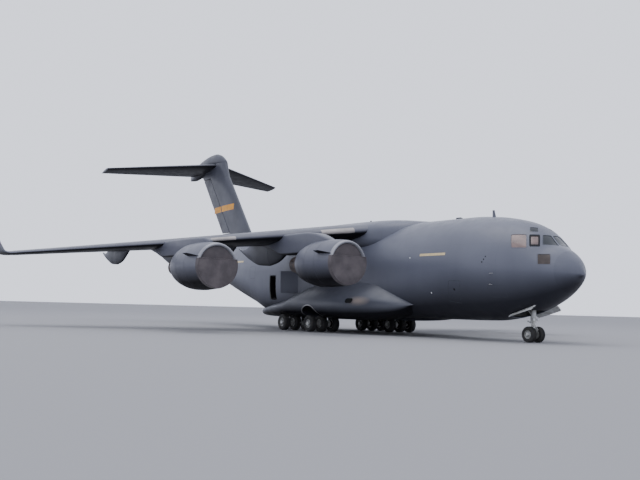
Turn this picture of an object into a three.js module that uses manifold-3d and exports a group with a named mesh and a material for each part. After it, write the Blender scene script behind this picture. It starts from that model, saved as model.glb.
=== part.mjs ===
// A four-engined military transport plane, made at half of its real size.
// It stands on its landing gear, with covers in its engine intakes and one troop door open.
// Tables and named sizes are metres of the real plane. s runs aft and is 0.5 at the nose tip,
// y runs to the left and z up from the ground. at() turns them into the model's millimetres.

import * as THREE from 'three';
import { mergeVertices } from 'three/addons/utils/BufferGeometryUtils.js';
import Module from 'manifold-3d';

const wasm = await Module();
wasm.setup();

// Driving dimensions
const SCALE = 0.5;
const MM = 1000 * SCALE;
const NOSE = 0.5;
const TAIL = 53.04;
const SEAM = 0.0003;          // half the gap left where two pieces touch
const CLEAR = 0.016;          // gap round a piece that moves
const FAR = 4;                // reach of a cutting block past what it cuts

const SKIN = 0.12;            // wall of the hollow body
const RING_STEPS = 24;
const NOSE_END = 1.5;
const FORWARD_END = 12.9;
const CENTRE_END = 31.3;
const AFT_END = 44.0;
const TAIL_END = 49.6;

// Body sections: s, top z, bottom z, half width, z of the widest point, squareness of the lower half
const BODY = [
  [0.50, 4.25, 4.15, 0.05, 4.20, 2.0],
  [0.61, 4.62, 3.97, 0.35, 4.22, 2.0],
  [0.86, 5.02, 3.65, 0.75, 4.27, 2.0],
  [1.30, 5.42, 3.24, 1.23, 4.33, 2.0],
  [1.83, 5.76, 2.85, 1.67, 4.39, 2.0],
  [2.27, 5.98, 2.58, 1.96, 4.43, 2.0],
  [2.94, 6.66, 2.24, 2.32, 4.49, 2.0],
  [3.60, 7.16, 1.97, 2.62, 4.54, 2.0],
  [4.40, 7.50, 1.70, 2.90, 4.58, 2.0],
  [5.50, 7.77, 1.47, 3.15, 4.63, 2.0],
  [7.00, 8.00, 1.29, 3.36, 4.67, 2.0],
  [9.00, 8.12, 1.26, 3.43, 4.69, 2.1],
  [12.9, 8.12, 1.26, 3.43, 4.69, 2.8],
  [17.0, 8.12, 1.26, 3.43, 4.69, 4.0],
  [31.3, 8.12, 1.26, 3.43, 4.69, 4.0],
  [34.0, 8.10, 1.95, 3.36, 4.85, 3.4],
  [37.5, 8.00, 2.85, 3.08, 5.15, 2.8],
  [41.0, 7.80, 3.75, 2.58, 5.60, 2.3],
  [44.0, 7.60, 4.55, 2.01, 6.00, 2.0],
  [47.5, 7.25, 5.50, 1.22, 6.40, 2.0],
  [49.6, 6.95, 6.15, 0.45, 6.55, 2.0],
];

// Flight deck window corners on the right side: s, distance from the centre plane, z
const WINDOWS = [
  [[2.86, 0.08, 6.54], [2.20, 0.10, 5.92], [2.52, 1.17, 5.94], [2.94, 0.70, 6.57]],
  [[3.02, 0.88, 6.56], [2.56, 1.40, 5.82], [2.96, 1.85, 5.81], [3.36, 1.42, 6.54]],
  [[3.47, 1.52, 6.57], [3.04, 2.00, 5.70], [3.86, 2.45, 5.71], [4.26, 2.04, 6.58]],
  [[3.50, 0.50, 7.04], [3.24, 0.79, 6.76], [3.47, 1.25, 6.74], [3.76, 0.94, 7.06]],
  [[1.88, 1.23, 5.36], [1.66, 1.48, 4.70], [2.29, 1.94, 4.70], [2.46, 1.76, 5.35]],
];
const WINDOW_FOCUS = [4.4, 0, 5.5];   // window cuts widen outwards from here

// Hold, flight deck and doors
const HOLD_FLOOR = { start: 6.2, top: 1.63, deep: 0.2 };
const DECK = { start: 1.9, end: 9.5, top: 4.5, thick: 0.12 };
const CREW_DOOR = {
  start: 7.3, end: 8.4, low: 2.25, high: 4.15, hingeDeep: 0.05, hingeUp: 0.02, sill: 0.05, pin: 0.02,
};
const TROOP_DOOR = { start: 29.15, end: 30.1, low: 2.4, high: 4.4, raised: 1.75, inside: 0.52 };
const DEFLECTOR = {
  start: 25.8, end: 27.45, low: 2.95, high: 4.7, open: 26, thick: 0.06, pin: 0.02, pinDeep: 0.024,
};
const RAMP = { end: 37.3, side: 2.35, deepAft: 0.4, hingeAft: 0.08, hingeZ: 1.56, swing: 28, lean: 0.42 };
const CARGO_DOOR = { end: 43.5, sideFore: 2.1, sideAft: 1.35, deep: 0.22, hingeZ: 4.84 };
const NOSE_BAY = { start: 3.15, end: 5.45, side: 0.78, wall: 0.08, top: 2.75 };
// Its doors stand out sideways: s, z at the hinge and z at the outer edge
const BAY_DOOR = { side: 1.5, thick: 0.08, rows: [[3.25, 2.30, 2.02], [5.05, 1.72, 1.52]] };

// Gear pod sections: s, outer y, top z, bottom z
const POD = [
  [12.4, 2.82, 2.50, 2.20],
  [13.1, 3.36, 2.94, 1.66],
  [14.4, 4.12, 3.56, 1.26],
  [16.4, 4.78, 4.16, 1.06],
  [19.0, 5.10, 4.20, 1.00],
  [23.4, 5.17, 3.85, 1.00],
  [25.8, 5.12, 2.80, 1.00],
  [28.4, 4.70, 2.30, 1.00],
  [30.0, 4.10, 1.98, 1.02],
  [30.9, 3.40, 1.70, 1.06],
];
const POD_INNER = 2.0;
const POD_MIDDLE = 2.15;      // z of the widest point
const POD_STEPS = 6;

// Landing gear
// Rows of main wheels: name, s of the axle, and the arch's half length, spring line and top
const MAIN_ROWS = [
  ['fore', 21.75, { half: 1.12, spring: 0.9, top: 1.96 }],
  ['aft', 25.4, { half: 0.88, spring: 0.8, top: 1.44 }],
];
const MAIN_TYRE = { radius: 0.635, width: 0.50, ys: [2.78, 3.85, 4.86], sides: 16 };
const MAIN_AXLE = { radius: 0.12, inner: 2.50, outer: 5.13 };
const MAIN_LEG = { y: 3.315, radius: 0.17, hub: 0.25, hubHalf: 0.21 };
const ARCH_INNER = 2.35;
const NOSE_AXLE_S = 4.25;
const NOSE_TYRE = { radius: 0.508, width: 0.38, ys: [-0.38, 0.38], sides: 16 };
const NOSE_LEG = { radius: 0.16, low: 1.12, strut: 0.11, hub: 0.17, hubHalf: 0.15, axle: 0.08 };
// Hinge pins: how far they reach out of the moving piece, and their play in the bore
const PIN = { radius: 0.03, reach: 0.09, play: 0.0005, sides: 12 };

// Wing: straight leading edge, drooping towards the tip
const WING = {
  root: { y: 1.6, le: 16.47, te: 26.93, z: 7.67, drop: 0.45, thick: 0.142 },
  tip: { y: 25.0, le: 29.22, te: 32.34, z: 5.07, drop: 0.02, thick: 0.105 },
};
// Winglet sections: leading edge s, chord, y, z, lean of the section in degrees
const WINGLET = [
  [29.75, 2.55, 25.28, 5.20, 45],
  [30.40, 2.05, 25.42, 5.70, 78],
  [32.05, 1.00, 25.84, 7.75, 80],
];
// Fairing over the wing's middle: s, half width, top z
const FAIRING = [
  [13.7, 0.50, 8.13],
  [14.6, 1.70, 8.22],
  [15.8, 2.60, 8.34],
  [17.2, 3.10, 8.40],
  [20.0, 3.36, 8.42],
  [25.5, 3.30, 8.38],
  [28.0, 2.60, 8.28],
  [30.2, 1.20, 8.15],
];
const FAIRING_MIDDLE = 7.1;
const FAIRING_LOW = 5.6;

// Flaps: name, inner y, outer y, the y of its two hinge fairings
const FLAP_FRONT = 0.72;
const FLAP_PIVOT = { ahead: 0.03, below: 0.216 };   // below the chord line, as a share of the chord
const FLAPS = [
  ['inner', 4.55, 11.3, [6.2, 10.2]],
  ['outer', 11.36, 18.3, [13.0, 17.3]],
];
// Hinge fairings, as shares of the chord there: s from the pivot, bottom from the pivot, half width
const FIXED_FAIRING = [[-0.42, 0.21, 0.008], [-0.30, 0.125, 0.026], [-0.13, 0.03, 0.034], [0.04, -0.004, 0.036]];
const MOVING_FAIRING = [[-0.04, 0, 0.036], [0.19, 0.012, 0.034], [0.37, 0.07, 0.026], [0.56, 0.162, 0.008]];
const FLAP_LUG = { half: 0.07, deep: 0.07, barrel: 0.04 };
const AILERON = { front: 0.75, inner: 18.5, outer: 24.3 };
const NOSE_SHARE = 0.8;       // radius of a control surface's round nose, as a share of the thickness there

// Engines on each side: name, y, intake s, centre z
const ENGINES = [
  ['inner', 7.98, 12.85, 4.80],
  ['outer', 15.38, 16.93, 4.36],
];
// Cowl outline, outside from the lip to the nozzle and back inside: s behind the lip, radius
const COWL = [
  [0.00, 1.36], [0.10, 1.45], [0.70, 1.53], [1.80, 1.58], [3.00, 1.55], [4.00, 1.38], [4.65, 1.18],
  [4.65, 1.13], [3.40, 1.24], [0.20, 1.24],
];
// Engine block with its core cowl and exhaust plug: s behind the lip, radius
const ENGINE_BLOCK = [
  [1.00, 0], [1.00, 1.00], [3.10, 1.02], [4.60, 0.90], [6.30, 0.56], [6.30, 0.34], [6.95, 0.06], [6.95, 0],
];
// Intake cover: s behind the lip, radius. Its upper part is set back behind stepS, from stepZ above the centre.
const COVER = [
  [-0.05, 0], [-0.05, 1.38], [-0.03, 1.42], [-0.001, 1.42], [-0.001, 1.355],
  [0.20, 1.2395], [0.34, 1.2395], [0.34, 0],
];
const COVER_STEP = { s: 0.28, z: 0.42 };
const COWL_SIDES = 20;
// Pylon sections: share of the way from the nacelle to the wing, top and bottom above the engine's centre,
// half width. The last rows lie inside the wing.
const PYLON = {
  inner: [
    [0.00, 1.46, 1.10, 0.10], [0.12, 1.72, 0.90, 0.34], [0.32, 2.07, 0.78, 0.46], [0.53, 2.20, 0.74, 0.48],
    [1.00, 2.18, 0.72, 0.48], [1.25, 2.10, 1.10, 0.42], [1.55, 1.90, 1.52, 0.12],
  ],
  outer: [
    [-0.06, 1.66, 1.10, 0.10], [0.05, 1.87, 0.95, 0.34], [0.32, 1.90, 0.78, 0.46], [0.53, 1.90, 0.74, 0.48],
    [1.00, 1.90, 0.72, 0.48], [1.25, 1.84, 1.10, 0.42], [1.55, 1.70, 1.46, 0.12],
  ],
};
const PYLON_START = 1.4;
const STRAKE = { start: 0.9, end: 2.35, angle: 22, height: 0.46, thick: 0.04 };

// Tail
const FIN = {
  low: { z: 7.2, le: 38.1, te: 43.7, thick: 0.12 },
  high: { z: 15.85, le: 44.95, te: 50.35, thick: 0.105 },
};
const RUDDER = { front: 0.68, low: 9.0, high: 14.7 };
const TAILPLANE = {
  root: { y: 0, le: 46.3, te: 51.35, z: 16.1, drop: 0.72, thick: 0.11 },
  tip: { y: 9.9, le: 51.30, te: 53.04, z: 15.25, drop: 0.32, thick: 0.13 },
};
const ELEVATOR = { front: 0.68, inner: 0.85, outer: 9.2 };
// Bullet over the fin: s, half width, top z, bottom z
const BULLET = [
  [44.7, 0.06, 16.34, 16.12],
  [45.2, 0.22, 16.68, 15.92],
  [45.9, 0.36, 17.06, 15.88],
  [46.9, 0.42, 17.28, 15.86],
  [47.6, 0.42, 17.26, 15.82],
  [49.6, 0.40, 16.95, 15.25],
  [51.4, 0.26, 16.30, 14.95],
  [52.6, 0.06, 15.55, 15.05],
];

const COLOURS = {
  skin: 0x6e747b,
  radome: 0x6a7076,
  cover: 0x5c5f62,
  leg: 0xc9ccce,
  tyre: 0x1d1d1f,
  glass: 0x20262c,
  interior: 0x8a8f8c,
  exhaust: 0x55504a,
};

// Points and solids
const at = (s, y, z) => new THREE.Vector3(((NOSE + TAIL) / 2 - s) * MM, y * MM, z * MM);
const lerp = (a, b, t) => a + (b - a) * t;
const radians = THREE.MathUtils.degToRad;

function solid(points, triangles) {
  let volume = 0;
  for (let i = 0; i < triangles.length; i += 3) {
    const [a, b, c] = [0, 1, 2].map((k) => points[triangles[i + k]]);
    volume += a.dot(b.clone().cross(c));
  }
  const ordered = volume > 0 ? triangles : triangles.toReversed();
  const vertProperties = new Float32Array(points.flatMap((p) => p.toArray()));
  return new wasm.Manifold(new wasm.Mesh({ numProp: 3, vertProperties, triVerts: new Uint32Array(ordered) }));
}

function solidOf(geometry) {
  const bare = geometry.index ? geometry : geometry.clone();
  bare.deleteAttribute('normal');
  bare.deleteAttribute('uv');
  const merged = mergeVertices(bare, 0.001);
  const position = merged.attributes.position;
  const points = Array.from(
    { length: position.count }, (_, i) => new THREE.Vector3().fromBufferAttribute(position, i));
  const triangles = Array.from(merged.index.array);
  const whole = [];
  for (let i = 0; i < triangles.length; i += 3) {
    const [a, b, c] = triangles.slice(i, i + 3);
    if (a !== b && b !== c && c !== a) whole.push(a, b, c);
  }
  return solid(points, whole);
}

// Skin over rings of equal length, each end closed by a fan round its middle
function loft(rings) {
  const count = rings[0].length;
  const points = rings.flat();
  const triangles = [];
  for (let i = 0; i < rings.length - 1; i++) {
    for (let j = 0; j < count; j++) {
      const a = i * count + j;
      const b = i * count + (j + 1) % count;
      triangles.push(a, b, a + count, b, b + count, a + count);
    }
  }
  [[0, rings[0], false], [(rings.length - 1) * count, rings.at(-1), true]].forEach(([first, ring, aft]) => {
    const middle = points.length;
    points.push(ring.reduce((sum, p) => sum.add(p), new THREE.Vector3()).divideScalar(count));
    for (let j = 0; j < count; j++) {
      const a = first + j;
      const b = first + (j + 1) % count;
      triangles.push(...(aft ? [middle, a, b] : [middle, b, a]));
    }
  });
  return solid(points, triangles);
}

const rectangle = (s, y0, y1, z0, z1) => [at(s, y0, z0), at(s, y1, z0), at(s, y1, z1), at(s, y0, z1)];
const block = (s0, s1, y0, y1, z0, z1) => loft([rectangle(s0, y0, y1, z0, z1), rectangle(s1, y0, y1, z0, z1)]);

// Both sides: side is 1 on the left and -1 on the right
const SIDES = [['left', 1], ['right', -1]];
const mirrored = (points, side) => points.map((p) => new THREE.Vector3(p.x, p.y * side, p.z));
const loftOn = (side, rings) => loft(rings.map((ring) => mirrored(ring, side)));

// Cylinder between two points
function cylinder(a, b, radius, sides = 12) {
  const geometry = new THREE.CylinderGeometry(radius * MM, radius * MM, a.distanceTo(b), sides);
  const along = b.clone().sub(a).normalize();
  geometry.applyQuaternion(new THREE.Quaternion().setFromUnitVectors(new THREE.Vector3(0, 1, 0), along));
  geometry.translate(...a.clone().lerp(b, 0.5).toArray());
  return solidOf(geometry);
}
const rod = (from, to, radius, sides) => cylinder(at(...from), at(...to), radius, sides);

// Pins at both ends of a hinge line, and the bores that hold them
const boreRadius = (radius, sides = PIN.sides) => (radius + PIN.play) / Math.cos(Math.PI / sides);
function endPins([a, b], radius, reach = PIN.reach) {
  const along = b.clone().sub(a).normalize().multiplyScalar(reach * MM);
  const low = cylinder(a.clone().sub(along), a.clone().add(along), radius, PIN.sides);
  return low.add(cylinder(b.clone().sub(along), b.clone().add(along), radius, PIN.sides));
}
const endBores = (line, radius, reach = PIN.reach) => endPins(line, boreRadius(radius), reach + PIN.play);

// Turned solid about the plane's long direction, its outline given as s behind start and radius
function turnedAlong(start, y, z, outline, sides = COWL_SIDES) {
  const geometry = new THREE.LatheGeometry(outline.map(([s, r]) => new THREE.Vector2(r * MM, -s * MM)), sides);
  geometry.rotateZ(-Math.PI / 2);
  const centre = at(start, y, z);
  geometry.translate(centre.x, centre.y, centre.z);
  return solidOf(geometry);
}

const scene = new THREE.Group();
function add(name, manifold, colour, { roughness = 0.6, metalness = 0, hinge = null } = {}) {
  const { vertProperties, triVerts } = manifold.getMesh();
  const geometry = new THREE.BufferGeometry();
  geometry.setAttribute('position', new THREE.BufferAttribute(vertProperties, 3));
  geometry.setIndex(new THREE.BufferAttribute(triVerts, 1));
  const material = new THREE.MeshStandardMaterial({ color: colour, roughness, metalness });
  const mesh = new THREE.Mesh(geometry, material);
  mesh.name = name;
  if (hinge) mesh.userData.hinge = hinge.map((p) => p.toArray());
  scene.add(mesh);
}

// Body
const bodyAt = (s) => {
  const next = Math.max(1, BODY.findIndex((row) => row[0] >= s));
  const [a, b] = [BODY[next - 1], BODY[next]];
  const t = (s - a[0]) / (b[0] - a[0]);
  return a.map((value, k) => lerp(value, b[k], t));
};

function bodyRing(s, inset = 0) {
  const [, top, bottom, half, middle, square] = bodyAt(s);
  return Array.from({ length: RING_STEPS }, (_, i) => {
    const angle = (i / RING_STEPS) * 2 * Math.PI;
    const [c, n] = [Math.cos(angle), Math.sin(angle)];
    const power = n < 0 ? 2 / square : 1;
    const height = n < 0 ? middle - bottom : top - middle;
    const y = Math.sign(c) * Math.abs(c) ** power * (half - inset);
    const z = middle + Math.sign(n) * Math.abs(n) ** power * (height - inset);
    return at(s, y, z);
  });
}

// Distance of the outer skin from the centre plane, below the widest point
function skinAt(s, z) {
  const [, , bottom, half, middle, square] = bodyAt(s);
  const drop = Math.max(0, middle - z) / (middle - bottom);
  return half * (1 - drop ** square) ** (1 / square);
}

function bodySolid(from, to, inset = 0) {
  const between = BODY.map((row) => row[0]).filter((s) => s > from + 0.01 && s < to - 0.01);
  return loft([from, ...between, to].map((s) => bodyRing(s, inset)));
}

const bodyCut = bodySolid(0.62, TAIL_END, -SEAM);   // cuts what sits on the body
const holdSpace = bodySolid(NOSE_END + SKIN, AFT_END - SKIN, SKIN);
const holdFit = bodySolid(NOSE_END + SKIN + SEAM, AFT_END - SKIN - SEAM, SKIN + SEAM);
const barrel = (from, to) => bodySolid(from + SEAM, to - SEAM).subtract(holdSpace);

// Flight deck windows, cut as pyramids from a point inside
const windowCut = (side) => WINDOWS.map((corners) => {
  const focus = at(...WINDOW_FOCUS);
  const rings = [0.75, 1.25].map((reach) => mirrored(corners.map((c) => at(...c)), side)
    .map((p) => focus.clone().lerp(p, reach)));
  return loft(rings);
});

function boxOf({ start, end, low, high }, side, y0, y1, grow = 0) {
  const ring = (s) => rectangle(s, y0, y1, low - grow, high + grow);
  return loftOn(side, [ring(start - grow), ring(end + grow)]);
}

// Nose gear bay: a box in the belly, open below, with its doors hanging at the sides
const bay = (grow, low) => block(NOSE_BAY.start - grow, NOSE_BAY.end + grow,
  -NOSE_BAY.side - grow, NOSE_BAY.side + grow, low, NOSE_BAY.top + grow);

function bayDoor(side) {
  const inner = NOSE_BAY.side + 0.02;
  return loftOn(side, BAY_DOOR.rows.map(([s, hinge, edge]) => [
    at(s, inner, hinge), at(s, inner, hinge + 0.14),
    at(s, BAY_DOOR.side, edge + BAY_DOOR.thick), at(s, BAY_DOOR.side, edge),
  ]));
}

const forwardShell = SIDES.reduce(
  (shell, [, side]) => windowCut(side).reduce((rest, cut) => rest.subtract(cut), shell).add(bayDoor(side)),
  barrel(NOSE_END, FORWARD_END)
    .add(bay(NOSE_BAY.wall, 1.2).intersect(bodySolid(NOSE_END + SKIN, 8)))
    .subtract(bay(0, 0.5)),
);
const crewDoorBox = boxOf(CREW_DOOR, 1, 1.0, FAR);
const crewDoorway = boxOf({
  ...CREW_DOOR, start: CREW_DOOR.start - CLEAR, low: CREW_DOOR.low - CREW_DOOR.sill + CLEAR,
}, 1, 1.0, FAR, CLEAR);
const crewHinge = [CREW_DOOR.start, CREW_DOOR.end].map(
  (s) => at(s, skinAt(s, CREW_DOOR.low) - CREW_DOOR.hingeDeep, CREW_DOOR.low + CREW_DOOR.hingeUp));
const crewSkin = bodySolid(6, 10, 0.004).subtract(bodySolid(5.9, 10.1, SKIN));
add('radome', bodySolid(NOSE, NOSE_END - SEAM), COLOURS.radome);
add('forward_fuselage', forwardShell.subtract(crewDoorway).subtract(endBores(crewHinge, CREW_DOOR.pin)),
  COLOURS.skin);
add('crew_door', crewSkin.intersect(crewDoorBox).add(endPins(crewHinge, CREW_DOOR.pin)), COLOURS.skin,
  { hinge: crewHinge });

// Flight deck: floor, rear wall, instrument panel, centre stand and two seats, all joined
const deckSeat = (y) => block(3.55, 4.15, y - 0.3, y + 0.3, DECK.top - 0.02, DECK.top + 0.5)
  .add(loft([[4.02, 0.5], [4.25, 1.35]].map(([s, h]) => [
    at(s, y - 0.28, DECK.top + h), at(s, y + 0.28, DECK.top + h),
    at(s + 0.16, y + 0.28, DECK.top + h - 0.03), at(s + 0.16, y - 0.28, DECK.top + h - 0.03),
  ])));
const deck = block(DECK.start, DECK.end, -FAR, FAR, DECK.top - DECK.thick, DECK.top)
  .add(block(DECK.end - DECK.thick, DECK.end, -FAR, FAR, DECK.top - DECK.thick, 9))
  .add(block(2.65, 2.95, -1.15, 1.15, DECK.top - 0.02, 5.5))
  .add(block(2.9, 3.5, -0.28, 0.28, DECK.top - 0.02, 5.0))
  .add(deckSeat(-0.85))
  .add(deckSeat(0.85));
add('flight_deck', deck.intersect(holdFit), COLOURS.interior);

// One band of glazing behind all the window cuts
const glassRegion = block(1.4, 4.5, -FAR, FAR, DECK.top + 0.03, 7.2);
add('flight_deck_glass', holdFit.subtract(bodySolid(1.2, 5, SKIN + 0.04)).intersect(glassRegion), COLOURS.glass,
  { roughness: 0.1 });

// Hold floor
const holdFloor = block(
  HOLD_FLOOR.start, CENTRE_END - SEAM, -FAR, FAR, HOLD_FLOOR.top - HOLD_FLOOR.deep, HOLD_FLOOR.top);
const bayClear = bay(NOSE_BAY.wall + 0.02, 0.5);
add('cargo_floor', holdFloor.intersect(holdFit).subtract(bayClear), COLOURS.interior);

// Troop doors and the air deflectors ahead of them
const troopBox = (side, grow) => boxOf(TROOP_DOOR, side, 2, FAR, grow);
const deflectorBox = (side, grow) => boxOf(DEFLECTOR, side, 2, FAR, grow);
const skinPanel = (from, to, outer, inner) => bodySolid(from, to, outer)
  .subtract(bodySolid(from - 1, to + 1, inner));
const troopPanel = (side) => skinPanel(28, 31, 0, SKIN).intersect(troopBox(side, 0));
add('troop_door_left', troopPanel(1), COLOURS.skin);
// The right one is open: it has moved in and up, and hangs by two rollers from the inside of the body
const rollers = [TROOP_DOOR.start + 0.15, TROOP_DOOR.end - 0.25]
  .map((s) => block(s, s + 0.1, -FAR, -2.8, 5.55, 5.7))
  .reduce((both, roller) => both.add(roller))
  .intersect(holdFit);
const raised = troopPanel(-1).translate(0, TROOP_DOOR.inside * MM, TROOP_DOOR.raised * MM);
add('troop_door_right', raised.add(rollers), COLOURS.skin);

const deflectorHinge = (side) => [DEFLECTOR.low, DEFLECTOR.high].map(
  (z) => at(DEFLECTOR.start + 0.03, side * (skinAt(DEFLECTOR.start, z) - DEFLECTOR.pinDeep), z));
const centreShell = SIDES.reduce((shell, [, side]) => shell
  .subtract(troopBox(side, side > 0 ? SEAM : CLEAR))
  .subtract(deflectorBox(side, CLEAR))
  .subtract(endBores(deflectorHinge(side), DEFLECTOR.pin)), barrel(FORWARD_END, CENTRE_END));
add('centre_fuselage', centreShell, COLOURS.skin);

SIDES.forEach(([name, side]) => {
  const panel = skinPanel(25, 30, 0.004, 0.004 + DEFLECTOR.thick).intersect(deflectorBox(side, 0));
  const [low, high] = deflectorHinge(side);
  const axis = high.clone().sub(low).normalize();
  const turn = new THREE.Matrix4().makeTranslation(low)
    .multiply(new THREE.Matrix4().makeRotationAxis(axis, radians(-side * DEFLECTOR.open)))
    .multiply(new THREE.Matrix4().makeTranslation(low.clone().negate()));
  const turned = panel.transform(turn.elements).add(endPins([low, high], DEFLECTOR.pin));
  add(`air_deflector_${name}`, turned, COLOURS.skin, { hinge: [low, high] });
});

// Ramp and cargo door, cut from the underside of the rear body
const rampTop = (s) => (s < CENTRE_END ? HOLD_FLOOR.top
  : lerp(HOLD_FLOOR.top, bodyAt(RAMP.end)[2] + RAMP.deepAft, (s - CENTRE_END) / (RAMP.end - CENTRE_END)));
// The joint between the ramp and the cargo door leans forward, along the way in which both of them move
const jointAt = (z) => RAMP.end - RAMP.lean * (z - bodyAt(RAMP.end)[2]);
function leaningRing(behind, side, low, high) {
  const [under, above] = [low, high].map((z) => jointAt(z) + behind);
  return [
    at(under, -side(under), low), at(under, side(under), low),
    at(above, side(above), high), at(above, -side(above), high),
  ];
}
function rampRegion(grow, low) {
  const front = CENTRE_END + 0.03 - grow;
  return loft([
    rectangle(front, -RAMP.side - grow, RAMP.side + grow, low, rampTop(front) + grow),
    leaningRing(grow, () => RAMP.side + grow, low, rampTop(RAMP.end) + grow),
  ]);
}
const doorSide = (s) => lerp(
  CARGO_DOOR.sideFore, CARGO_DOOR.sideAft, (s - RAMP.end) / (CARGO_DOOR.end - RAMP.end));
function cargoDoorRegion(grow) {
  const end = CARGO_DOOR.end + 3 * grow;
  return loft([
    leaningRing(0.05 - grow, (s) => doorSide(s) + grow, 0, 5.4),
    rectangle(end, -doorSide(end) - grow, doorSide(end) + grow, 0, 5.4),
  ]);
}
const rampFit = bodySolid(CENTRE_END - 0.2, 38);
const rampHinge = [-RAMP.side, RAMP.side].map((y) => at(CENTRE_END + RAMP.hingeAft, y, RAMP.hingeZ));
// The ramp's front is cut back below its hinge, so that it clears the belly when it is down
const rampHeel = [-FAR, FAR].map((y) => {
  const front = CENTRE_END + RAMP.hingeAft - 0.04;
  return [
    at(front - 1, y, RAMP.hingeZ - 0.03), at(front, y, RAMP.hingeZ - 0.03),
    at(front + Math.tan(radians(RAMP.swing)) * (RAMP.hingeZ - 1), y, 1), at(front - 1, y, 1),
  ];
});
const cargoDoorHinge = [-CARGO_DOOR.sideAft, CARGO_DOOR.sideAft].map(
  (y) => at(CARGO_DOOR.end - 0.04, y, CARGO_DOOR.hingeZ));
const aftShell = barrel(CENTRE_END, AFT_END)
  .subtract(rampRegion(CLEAR, 0))
  .subtract(endBores(rampHinge, PIN.radius))
  .subtract(cargoDoorRegion(CLEAR))
  .subtract(endBores(cargoDoorHinge, PIN.radius));
add('aft_fuselage', aftShell, COLOURS.skin);
const ramp = rampRegion(0, 0).intersect(rampFit).subtract(loft(rampHeel));
add('cargo_ramp', ramp.add(endPins(rampHinge, PIN.radius)), COLOURS.skin, { hinge: rampHinge });
const cargoDoor = skinPanel(37, 43.9, 0, CARGO_DOOR.deep).intersect(cargoDoorRegion(0));
add('cargo_door', cargoDoor.add(endPins(cargoDoorHinge, PIN.radius)), COLOURS.skin, { hinge: cargoDoorHinge });
add('tail_cone', bodySolid(AFT_END + SEAM, TAIL_END), COLOURS.skin);

// Gear pods, with an arch through each for every row of wheels
function podRing([s, outer, top, bottom]) {
  const steps = Array.from({ length: POD_STEPS * 2 + 1 }, (_, i) => (i / (POD_STEPS * 2)) * Math.PI);
  return steps.map((angle) => {
    const [c, n] = [Math.cos(angle), Math.sin(angle)];
    const middle = Math.min(POD_MIDDLE, lerp(bottom, top, 0.5));
    const power = c > 0 ? 2 / 1.5 : 2 / 3.2;
    const height = c > 0 ? top - middle : middle - bottom;
    const y = POD_INNER + (outer - POD_INNER) * n ** power;
    return at(s, y, middle + Math.sign(c) * Math.abs(c) ** power * height);
  });
}

const archSpace = (side, s, arch, shrink = 0) => {
  const [half, rise] = [arch.half - shrink, arch.top - arch.spring - shrink];
  const steps = Array.from({ length: 11 }, (_, i) => (i / 10) * Math.PI);
  const ring = (y) => [
    at(s + half, y, 0.2),
    ...steps.map((a) => at(s + half * Math.cos(a), y, arch.spring + rise * Math.sin(a))),
    at(s - half, y, 0.2),
  ];
  return loftOn(side, [ring(ARCH_INNER + shrink), ring(6)]);
};
SIDES.forEach(([name, side]) => {
  const pod = MAIN_ROWS.reduce((rest, [, s, arch]) => rest.subtract(archSpace(side, s, arch)),
    loftOn(side, POD.map(podRing)));
  add(`gear_pod_${name}`, pod.subtract(bodyCut), COLOURS.skin);
});

// Wheels on one axle turn together. The tread's lowest facet lies flat on the ground.
const axleHeight = ({ radius, sides }) => radius * Math.cos(Math.PI / sides);
function wheelSet(s, side, tyre, axle) {
  const shoulder = 0.16 * tyre.width;
  const outline = [[axle.inner, 0], [axle.inner, axle.radius]];
  tyre.ys.forEach((y) => {
    const [near, away] = [y - tyre.width / 2, y + tyre.width / 2];
    outline.push([near, axle.radius], [near, tyre.radius * 0.86], [near + shoulder, tyre.radius]);
    outline.push([away - shoulder, tyre.radius], [away, tyre.radius * 0.86], [away, axle.radius]);
  });
  outline.push([axle.outer, axle.radius], [axle.outer, 0]);
  const profile = outline.map(([y, r]) => new THREE.Vector2(r * MM, y * MM));
  const geometry = new THREE.LatheGeometry(profile, tyre.sides);
  geometry.rotateY(Math.PI / tyre.sides);
  if (side < 0) geometry.rotateZ(Math.PI);
  const centre = at(s, 0, axleHeight(tyre));
  geometry.translate(centre.x, 0, centre.z);
  return solidOf(geometry);
}

const bore = (s, y0, y1, z, radius, sides) => rod([s, y0, z], [s, y1, z], boreRadius(radius, sides), sides);
SIDES.forEach(([name, side]) => {
  MAIN_ROWS.forEach(([row, s, arch]) => {
    const z = axleHeight(MAIN_TYRE);
    const y = side * MAIN_LEG.y;
    const leg = rod([s, y, z], [s, y, 2.6], MAIN_LEG.radius)
      .add(rod([s, y - MAIN_LEG.hubHalf, z], [s, y + MAIN_LEG.hubHalf, z], MAIN_LEG.hub, 16))
      .add(rod([s, y, 1.0], [s - 0.75, y, 2.3], 0.09, 8))
      .subtract(bore(s, y - 1, y + 1, z, MAIN_AXLE.radius, MAIN_TYRE.sides))
      .intersect(archSpace(side, s, arch, SEAM))
      .subtract(bodyCut);
    add(`main_leg_${row}_${name}`, leg, COLOURS.leg, { roughness: 0.4, metalness: 0.3 });
    add(`main_wheels_${row}_${name}`, wheelSet(s, side, MAIN_TYRE, MAIN_AXLE), COLOURS.tyre,
      { roughness: 0.9, hinge: [at(s, 0, z), at(s, 1, z)] });
  });
});

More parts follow.
